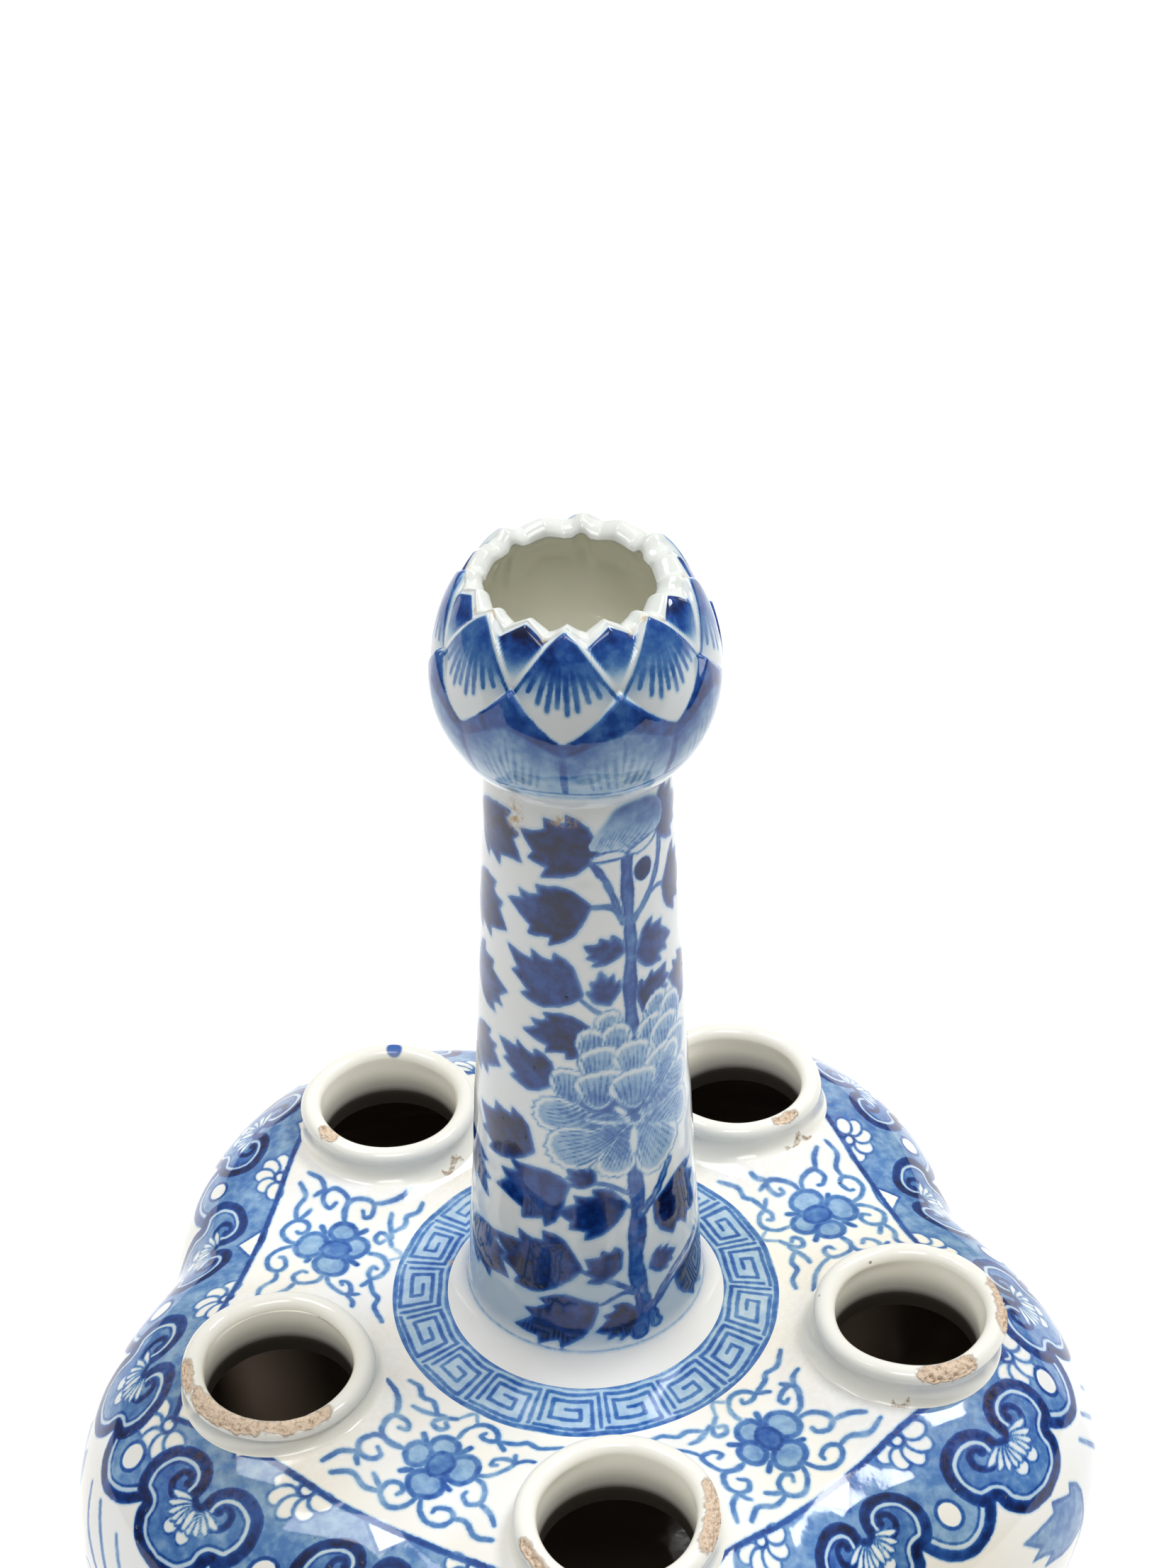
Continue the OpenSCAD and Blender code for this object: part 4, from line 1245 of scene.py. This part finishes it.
def make_shoulder_lobe(k):
    """One lobe of the shoulder, crease to crease, with a round hole under its spout."""
    middle = FRONT_AZ + LOBE_STEP * k
    phi = np.linspace(-HALF, HALF, LOBE_COLS)
    step = phi[1] - phi[0]
    wide = np.concatenate([[phi[0] - step], phi, [phi[-1] + step]]) + middle
    a, v = shoulder_rows()
    a_in = np.interp(np.linspace(v[-1], 0, LOBE_INSIDE), v, a)
    outer, inner = shoulder_at(a[:, None], wide), shoulder_at(a_in[:, None], wide, WALL)
    outer[..., 2] += mound(outer[..., 0], outer[..., 1])
    normals = np.concatenate([grid_normals(outer, False), grid_normals(inner, False)])[:, 1:-1]
    outer, inner = outer[:, 1:-1], inner[:, 1:-1]
    hole = turned(SPOUT_CIRCLE_R, middle, 0.0)[:2]
    away = np.hypot(*(np.concatenate([outer, inner])[..., :2] - hole).transpose(2, 0, 1))
    quad = (away + np.roll(away, -1, 0)) / 2
    keep = (quad[:, :-1] + quad[:, 1:]) / 2 > HOLE_R
    for patch, gap in ((outer, away[:LOBE_ROWS]), (inner, away[LOBE_ROWS:])):
        pull = np.where((gap < HOLE_R) & (gap > HOLE_R / 2), HOLE_R / gap, 1.0)[..., None]
        patch[..., :2] = hole + (patch[..., :2] - hole) * pull
    work = paint_lobe(k, outer[..., 0], outer[..., 1], phi, v[:, None])
    cream = CREAM_STAIN[k] * rise(*CREAM_REACH, away[:LOBE_ROWS])
    fields = fields_of(work, [outer, inner], stained([outer], [inner]), rust=cream)
    made = piece(f"shoulder_lobe_{k + 1}", [outer, inner], fields, False, True, keep, normals, True)
    dress(made, "shoulder", BODY_GLAZE)


def make_fret_ring():
    """Middle of the shoulder: a low rise to the neck, with the key fret painted round it."""
    az = all_round(FRET_COLS)
    r = np.linspace(KEY_R, FRET_END_R, FRET_ROWS)[:, None]
    top = turned(r, az, SHOULDER_Z + KEY_RISE * rise(KEY_R, NECK_SKIRT_R, r))
    under_z = SHOULDER_Z - WALL
    under = [(FRET_END_R - 0.1, NECK_Z), (NECK_HOLE_R, NECK_Z), (NECK_HOLE_R, under_z),
             (FRET_END_R, under_z), (KEY_R, under_z)]
    rest = np.stack([turned(rr, az, zz) for rr, zz in under])
    work = paint_fret_ring(*np.broadcast_arrays(az, r))
    speck = np.hypot((r - SPECK_R) / SPECK_SIZE[0], (az - SPECK_AZ) / SPECK_SIZE[1])
    rusty = STAINED * rise(1.3, 0.5, speck)
    fields = fields_of(work, [top, rest], stained([top], [rest]), rust=rusty)
    dress(piece("fret_ring", [top, rest], fields), "shoulder", BODY_GLAZE)


def make_lower_body():
    """Lower half of the body: five bowls that run into one another down to the foot."""
    az = all_round(BOWL_COLS)
    turn = np.radians(az)
    a, down = even_steps(bowl_at, np.linspace(0, 90, BOWL_STEPS), BOWL_ROWS)
    a, down = a[::-1, None], down[::-1, None]
    base = np.stack([turned(r, az, FOOT_H) for r in BASE_RADII])
    outer = bowl_at(a, az)
    inner = bowl_at(np.linspace(0, 90, BOWL_INSIDE)[:, None], az, WALL, FLOOR_T)
    floor = np.stack([turned(r, az, FOOT_H + FLOOR_T) for r in FLOOR_RADII])
    v = shoulder_rows()[1][-1] + down
    work = Painting(across_lobe(lobe_angle(az), turn, v), v + 0.4 * np.sin(4 * turn + 2))
    paint_spray(work)
    end = np.ravel(np.broadcast_to(down[0] - down, outer.shape[:2]))
    for line, width, tone in BOWL_LINES:
        work.band(end - line, width, tone)
    patches = [base, outer, inner, floor]
    fields = fields_of(work, patches, stained([base, outer], [inner, floor]), skip=vertices([base]))
    made = piece("lower_body_bowl", patches, fields, along=False, capped=True)
    dress(made, "lower_body", BODY_GLAZE)


def make_foot_ring():
    """Lobed foot ring: one profile carried round the body's own lobes, bare where it stands."""
    az = all_round(FOOT_COLS)
    outer = curve([(0.8 * FOOT_SPREAD - 0.4, 0.0), (FOOT_SPREAD, 0.8), (0.9 * FOOT_SPREAD, 1.8),
                   (-0.2, 0.4 * FOOT_H), (-FOOT_INSET - 0.6, 0.75 * FOOT_H), (-FOOT_INSET, FOOT_H)])
    inner = curve([(-FOOT_T - FOOT_INSET - 0.8, FOOT_H), (-FOOT_T - 0.5, 0.5 * FOOT_H),
                   (0.8 * FOOT_SPREAD - FOOT_T, 0.0)])
    reach = mix(FOOT_LOBE_R, FOOT_CREASE_R, dip(az))
    patches = [turned(p[:, :1] + reach, az, np.maximum(p[:, 1:], 0)) for p in (outer, inner)]
    z = np.concatenate([p[..., 2] for p in patches])
    bare = rise(1.6, 0.9, z + 0.4 * np.sin(9 * np.radians(az)))
    made = piece("foot_ring_body", patches, {"bare": bare})
    dress(made, "foot_ring", FOOT_GLAZE)


# Spouts: rise of the lip, lean of the lip in x and y, and chips as angle, half length, width and place
# across the lip; cracks as first and last angle, radius and half width. ARC degrees of arc are about as
# long as the radius
SPOUT_LIP = SPOUT_WALL / 2
SPOUTS = [
    (0.0, (0.0, 0.0), [(-8, 27, 2.0, 0.3), (-152, 14, 1.0, 0.3)]),
    (0.3, (0.6, -0.2), [(-76, 20, 2.0, 0.36), (-2, 22, 1.7, 0.25), (60, 8, 0.8, 0.2)]),
    (0.2, (-1.0, -0.2), [(-58, 10, 1.1, 0.4), (150, 6, 0.8, 0.3)]),
    (0.0, (0.0, 0.0), [(-142, 9, 1.5, 0.5), (40, 6, 0.6, 0.2)]),
    (-1.9, (0.0, 0.0), [(-128, 30, 2.1, 0.45), (-78, 24, 1.8, 0.5), (-172, 14, 1.3, 0.3)]),
]
SPOUT_CRACKS = {1: [(-108, -98, 18.3, 0.45)], 2: [(-66, -44, 18.5, 0.4)], 3: [(-58, -41, 18.8, 0.42)]}
DRIP_SPOUT, DRIP_AZ = 3, 84.0
DRIP_AT, DRIP_R = 0.62, 1.9
SPOUT_COLS, FILLET_ROWS, WALL_ROWS, LIP_ROWS, BORE_ROWS = 208, 18, 6, 30, 14
CRACK_ROWS = 15
ARC = 60
# Share of painted shade and brown stain at the bottom of the bore.
BORE_SHADE_AND_STAIN = 0.97


def chip_gap(az, on_lip, chips):
    """Distance to the nearest chip, each an oval patch along the lip with a ragged edge, negative inside."""
    gap = FAR
    for middle, length, width, where in chips:
        run = np.abs(angle_from(middle, az)) / length
        across = np.abs(on_lip - where) * SPOUT_LIP * np.pi / width
        ragged = sway((0.3, az / 2.3 + middle), (0.2, az / 0.9))
        gap = np.minimum(gap, (np.hypot(run**2, across * (1 + 0.25 * ragged)) - 1) * width)
    return gap


def crack_gap(az, r, cracks):
    """Distance to the nearest crack in the slip round a spout, each a shaky line at its own radius."""
    gap = np.full(r.shape, FAR)
    for first, last, radius, wide in cracks:
        past = np.abs(angle_from((first + last) / 2, az)) - (last - first) / 2
        past = np.maximum(past, 0) * radius / ARC
        line = np.abs(r - radius - 0.6 * np.sin((az - first) / 2.6)) - wide
        gap = np.minimum(gap, np.maximum(past, line))
    gap[CRACK_ROWS:] = FAR
    return gap


def make_spout(k):
    """Thrown ring: fillet of slip that runs out on the shoulder, waisted wall, rounded lip and straight
    bore, with the lip chipped."""
    lift, lean, chips = SPOUTS[k]
    out_az = FRONT_AZ + LOBE_STEP * k
    az = np.linspace(-180, 180, SPOUT_COLS, endpoint=False)
    turn = np.radians(az)
    facing = np.cos(turn - math.radians(out_az))
    way = turned(SPOUT_CIRCLE_R, out_az, 0.0)
    r_out = SPOUT_BORE_R + SPOUT_WALL
    waist = r_out - SPOUT_WAIST
    q = np.radians(np.linspace(0, 90, FILLET_ROWS))[:, None]
    foot = SPOUT_FOOT_R - SPOUT_FOOT_LEAN * facing
    fillet_r = foot - (foot - waist) * np.sin(q)
    plan = turned(fillet_r, az, 0.0) + way
    fillet_z = shoulder_top(plan[..., 0], plan[..., 1]) + SPOUT_FILLET * (1 - np.cos(q)) - 0.05
    wall_foot = fillet_z[-1]
    up = np.linspace(0, 1, WALL_ROWS + 2)[1:-1, None]
    lip_low = SHOULDER_Z + SPOUT_H - SPOUT_LIP
    b = np.radians(np.linspace(0, 180, LIP_ROWS))[:, None]
    lip_r, lip_z = r_out - SPOUT_LIP + SPOUT_LIP * np.cos(b), lip_low + SPOUT_LIP * np.sin(b)
    bore_z = np.linspace(lip_low, SHOULDER_Z - WALL, BORE_ROWS + 1)[1:, None]
    flat = np.zeros_like(az)
    wall_r = mix(waist, r_out, up**1.6)
    r = np.concatenate([fillet_r, wall_r + flat, lip_r + flat, SPOUT_BORE_R + 0 * bore_z + flat])
    z = np.concatenate([fillet_z, mix(wall_foot, lip_low, up), lip_z + flat, bore_z + flat])
    row = np.arange(len(r))[:, None]
    lip_start = FILLET_ROWS + WALL_ROWS
    on_lip = np.clip((row - lip_start) / (LIP_ROWS - 1), -0.5, 1.5)
    chip = chip_gap(az, on_lip, chips)
    bite = rise(0.15, -0.6, chip)
    height = z - SHOULDER_Z
    rough = 0.5 + 0.3 * np.sin(az / 1.7) * np.sin(height * 6) + 0.2 * np.sin(az / 0.8 + height * 3)
    wavy = sway((0.18, 2 * turn + k), (0.1, 5 * turn + 2 * k))
    tall = np.clip((z - wall_foot) / (lip_low - wall_foot), 0, 1)
    r = r + wavy * tall + (r_out - SPOUT_LIP - r) * 0.35 * bite * rough
    lifted = lift * tall * (0.8 - 0.1 * facing)
    z = z + lifted - bite * (0.25 + 0.5 * rough) + 0.12 * np.sin(3 * turn + k) * tall
    body = turned(r, az, z) + way + np.array([*lean, 0.0]) * tall[..., None]
    seat_r, seat_z = HOLE_R + 1.2, -WALL - 0.4
    seat = np.array([(SPOUT_BORE_R + 1.2, seat_z), (seat_r, seat_z), (seat_r, -1.6)])
    under = turned(seat[:, :1], az, SHOULDER_Z + seat[:, 1:]) + way
    under = np.concatenate([under, body[:1] - [0, 0, 0.4]])
    in_bore = row >= lip_start + LIP_ROWS - 4
    # Darker the deeper down the bore: painted shade over the bore's brown stain.
    deep = np.maximum(rise(0.4, -2.0, height), 0.3 * rise(5.0, -1.0, height)) * in_bore
    drip = FAR
    if k == DRIP_SPOUT:
        off = np.abs(angle_from(DRIP_AZ, az)) * r_out / ARC
        drip = np.hypot(off, (on_lip - DRIP_AT) * SPOUT_LIP * np.pi) - DRIP_R
    # Painted glow: lifts the shade at the foot of the fillet and on the inner lip and upper bore.
    thin = 0.3 * rise(FILLET_ROWS, 4, row) + rise(0.5, 1.0, on_lip) * rise(-0.8, 5.0, height)

    def over(values, under_value):
        return np.concatenate([np.broadcast_to(values, r.shape), np.full(under.shape[:2], under_value)])

    fields = {"chip": over(chip, FAR), "inside": over(BORE_SHADE_AND_STAIN * deep, BORE_SHADE_AND_STAIN),
              "crack": over(crack_gap(az, r, SPOUT_CRACKS.get(k, [])), FAR), "drip": over(drip, FAR),
              "thin": over(thin, 0.0)}
    made = piece(f"spout_{k + 1}_ring", [body, under], fields)
    dress(made, f"spout_{k + 1}", SPOUT_GLAZE)


# Neck: rust as angle from the viewer, height, half width in degrees and half height
NECK_COLS, NECK_ROWS, NECK_BORE_ROWS = 310, 292, 8
NECK_RUST = [(-41.0, 207.4, 7.5, 3.4), (-8.0, 208.6, 11.0, 1.2)]
NECK_POOL_AND_SHADE, NECK_BORE_STAIN = (0.2, 0.7), 0.6


def make_neck():
    """Neck: its profile turned about the axis, with a few throwing ridges, and the bore inside."""
    az = all_round(NECK_COLS)
    z = np.linspace(NECK_Z, BUD_Z, NECK_ROWS)[:, None]
    ridges = sway((0.05, z / 4.1), (0.04, z / 1.7 + 1))
    oval_out = 0.12 * np.cos(2 * np.radians(az) + 1)
    outer = turned(neck_r(z) + ridges + oval_out, az, z)
    bore = turned(NECK_BORE_R, az, np.linspace(BUD_Z, NECK_Z, NECK_BORE_ROWS)[:, None])
    work = paint_neck(*np.broadcast_arrays(az, z))
    # Blue-grey growing towards the foot of the neck: the tint of pooled glaze, and painted shade low on the
    # neck.
    pooled_and_shaded = mix(*NECK_POOL_AND_SHADE, rise(128, 104, z)) * rise(NECK_Z + 3.0, NECK_Z + 10.0, z)
    rusty = np.zeros(outer.shape[:2])
    for away, at_z, wide, tall in NECK_RUST:
        gap = np.hypot((angle_from(VIEW_AZ, az) - away) / wide, (z - at_z) / tall)
        rusty = np.maximum(rusty, STAINED * rise(1.3, 0.3, gap))
    pool = np.broadcast_to(pooled_and_shaded, rusty.shape)
    fields = fields_of(work, [outer, bore], stained([outer], [bore], NECK_BORE_STAIN), pool, rusty)
    dress(piece("neck_tube", [outer, bore], fields), "neck", NECK_GLAZE)


# Bud
BUD_COLS, BUD_ROWS, BUD_INSIDE = 350, 236, 24
BUD_FLOOR_Z, BUD_FLOOR_R, BUD_SEAT_R = 3.5, 12.2, NECK_BORE_R + 0.6
# Blue-grey on the bud's lip is painted shade that dims its up-facing edge.
LIP_LINED, LIP_SHADE, BUD_POOLED, BUD_RUST = 0.4, 0.32, 0.2, 0.8


def on_ball(r, az, el):
    """Points at a distance r from the middle of the bud, at angle az and elevation el."""
    el = np.radians(el)
    return turned(r * np.cos(el), az, BUD_Z + BUD_MID + r * np.sin(el))


def make_lotus_bud():
    """Bud: a ball carved in three rows of petals, open at the top in a ring of petal points."""
    az = all_round(BUD_COLS)
    turn = np.radians(az)
    _, s = petal_place(az)
    rim = rim_edge(az, s)
    v = np.linspace(0, 1, BUD_ROWS)[:, None]
    el = mix(BASE_EL, rim, v)
    edge = 0.35 * rise(0.95, 1.0, v) ** 2
    ball = BUD_R + bud_relief(az, el) * rise(0, 0.06, v) - edge + cup_out(az, el)
    outside = on_ball(ball, az, el)
    lip_r, lip_z = curve(BUD_LIP, 4).T[:, 1:, None]
    over = np.linspace(0, 1, len(lip_r))[:, None]
    calm = np.radians(mix(rim, RIM_EL, 0.6 * over))
    thick = BUD_LIP_EXTRA * (1 + np.cos(np.radians(az - VIEW_AZ - 90))) / 2
    lip_r = ball[-1] * np.cos(calm) + lip_r - thick * over
    lip_z = ball[-1] * np.sin(calm) + lip_z
    lip = turned(lip_r, az, BUD_Z + BUD_MID + lip_z)
    lip_el = np.degrees(np.arctan2(lip_z[-1], lip_r[-1]))
    end_el = -math.degrees(math.asin((BUD_MID - BUD_FLOOR_Z) / (BUD_R - BUD_WALL)))
    w = np.linspace(0, 1, BUD_INSIDE + 1)[1:, None]
    in_r = mix(np.hypot(lip_r[-1], lip_z[-1]), BUD_R - BUD_WALL, rise(0, 0.5, w))
    inside = on_ball(in_r, az, mix(lip_el, end_el, w))
    floor = ((BUD_FLOOR_R, BUD_FLOOR_Z), (BUD_SEAT_R, BUD_FLOOR_Z - 0.5), (BUD_SEAT_R, 0.0))
    base = np.stack([turned(rr, az, BUD_Z + zz) for rr, zz in floor])
    patches = [np.concatenate([outside, lip, inside]), base]
    lip_start, lip_end = len(outside), len(outside) + len(lip)
    lined, pooled_and_shaded = np.zeros((2, sum(map(len, patches)), BUD_COLS))
    lined[lip_start:lip_end], lined[lip_end:] = LIP_LINED, 1.0
    # The lip's blue-grey is painted shade; on the rest of the bud it is the tint of the glaze.
    pooled_and_shaded[:lip_start], pooled_and_shaded[lip_start:lip_end] = BUD_POOLED, LIP_SHADE
    from_tip = np.abs(np.arange(len(lined)) - lip_start)[:, None]
    tips = rise(0.25, 0.08, s) * (np.sin(5 * turn + 1) > 0.2)
    notches = rise(0.16, 0.03, np.abs(s - 0.5)) * (np.sin(7 * turn + 2) > 0.1)
    rusty = BUD_RUST * rise(6, 1, from_tip) * np.maximum(tips, notches)
    fields = fields_of(paint_bud(*np.broadcast_arrays(az, el)), patches, lined, pooled_and_shaded, rusty)
    dress(piece("lotus_bud_shell", patches, fields), "lotus_bud", BUD_GLAZE)


for lobe in range(LOBES):
    make_shoulder_lobe(lobe)
    make_spout(lobe)
make_fret_ring()
make_lower_body()
make_foot_ring()
make_neck()
make_lotus_bud()

# Floor, light and camera: lights as place, width, height and power
FLOOR_HALF, FLOOR_ROUGH, FLOOR_GLOW = 4.0, 0.9, 0.9
TABLE_END, TABLE_FADE = -0.385, 0.02
FLOOR_GREY, DIM_GREY, DIM_GLOW = (0.35, 0.35, 0.35, 1), (0.03, 0.03, 0.03, 1), (0.05, 0.05, 0.05, 1)
TENT_LOW, TENT_HIGH = 0.12, 0.63
TENT_UP, TENT_BACK = 0.94, 0.35
TENT_FROM, TENT_TO = 0.1, 0.9
LIGHT_TARGET = (0, 0, 0.1)
SOFT_BOXES = {"right_soft_box": ((0.954, 0.423, 1.97), 0.76, 0.49, 21),
              "left_soft_box": ((-0.70, 0.32, 2.1), 0.81, 0.58, 9),
              "front_soft_box": ((0.0, -0.99, 2.08), 1.08, 0.72, 13.3)}
CAMERA_LENS, SENSOR = 81.416, 36.0
CAMERA_PLACE = (1.697, -365.9, 456.0)
CAMERA_DOWN, CAMERA_ROLL, CAMERA_TURN = 34.417, -0.756, -4.669


def make_floor():
    """Plain white sheet on the table plane, lit a little from below as on a light table."""
    mesh = bpy.data.meshes.new("floor")
    corners = [(-1, -1), (1, -1), (1, 1), (-1, 1)]
    mesh.from_pydata([(x * FLOOR_HALF, y * FLOOR_HALF, 0.0) for x, y in corners], [], [(0, 1, 2, 3)])
    floor = bpy.data.objects.new("floor", mesh)
    bpy.context.scene.collection.objects.link(floor)
    sheet = Finish("floor_white")
    out = sheet.node("ShaderNodeSeparateXYZ", {0: sheet.place}).outputs["Y"]
    on_table = sheet.ease(out, TABLE_END - TABLE_FADE, TABLE_END)
    seen = sheet.tree.nodes.new("ShaderNodeLightPath").outputs["Is Camera Ray"]
    near_side = sheet.most(on_table, seen)
    sheet.show(Roughness=FLOOR_ROUGH, Base_Color=sheet.blend(near_side, DIM_GREY, FLOOR_GREY),
               Emission_Color=sheet.blend(near_side, DIM_GLOW, WHITE), Emission_Strength=FLOOR_GLOW)
    mesh.materials.append(sheet.material)


def make_tent():
    """White tent round the table: dim at the horizon and in front, bright overhead and behind."""
    world = bpy.data.worlds.new("white_tent")
    bpy.context.scene.world = world
    world.use_nodes = True
    nodes = world.node_tree.nodes
    tent = Shades(world.node_tree, nodes.new("ShaderNodeTexCoord").outputs["Generated"])
    split = tent.node("ShaderNodeSeparateXYZ", {0: tent.place}).outputs
    bright = tent.plus(tent.times(split["Z"], TENT_UP), tent.times(split["Y"], TENT_BACK))
    glow = tent.ease(bright, TENT_FROM, TENT_TO, TENT_LOW, TENT_HIGH)
    seen = nodes.new("ShaderNodeLightPath").outputs["Is Camera Ray"]
    tent.feed(nodes["Background"].inputs["Strength"], tent.most(glow, seen))
    tent.feed(nodes["Background"].inputs["Color"], WHITE)


def soft_box(name, place, wide, tall, power):
    """Large flat light aimed at the vase, sizes in metres."""
    data = bpy.data.lights.new(name, "AREA")
    data.shape, data.size, data.size_y, data.energy = "RECTANGLE", wide, tall, power
    light = bpy.data.objects.new(name, data)
    light.location = place
    light.rotation_euler = (Vector(LIGHT_TARGET) - Vector(place)).to_track_quat("-Z", "Y").to_euler()
    bpy.context.scene.collection.objects.link(light)


def make_camera():
    """Camera at the photograph's place: looking down, with a small roll, turned a little round the vase."""
    down, roll = math.radians(CAMERA_DOWN), math.radians(CAMERA_ROLL)
    ahead = Vector((0, math.cos(down), -math.sin(down)))
    right, up = Vector((1, 0, 0)), Vector((0, math.sin(down), math.cos(down)))
    right, up = right * math.cos(roll) + up * math.sin(roll), up * math.cos(roll) - right * math.sin(roll)
    frame_of = Matrix((right, up, -ahead)).transposed().to_4x4()
    data = bpy.data.cameras.new("camera")
    data.lens, data.sensor_width, data.sensor_fit = CAMERA_LENS, SENSOR, "HORIZONTAL"
    data.clip_start, data.clip_end = 0.01, 20
    camera = bpy.data.objects.new("camera", data)
    spin = Matrix.Rotation(math.radians(CAMERA_TURN), 4, "Z")
    camera.matrix_world = spin @ Matrix.Translation(Vector(CAMERA_PLACE) * MM) @ frame_of
    bpy.context.scene.collection.objects.link(camera)
    bpy.context.scene.camera = camera


make_floor()
make_tent()
for name, given in SOFT_BOXES.items():
    soft_box(name, *given)
make_camera()
bpy.context.scene.view_settings.view_transform = "Standard"
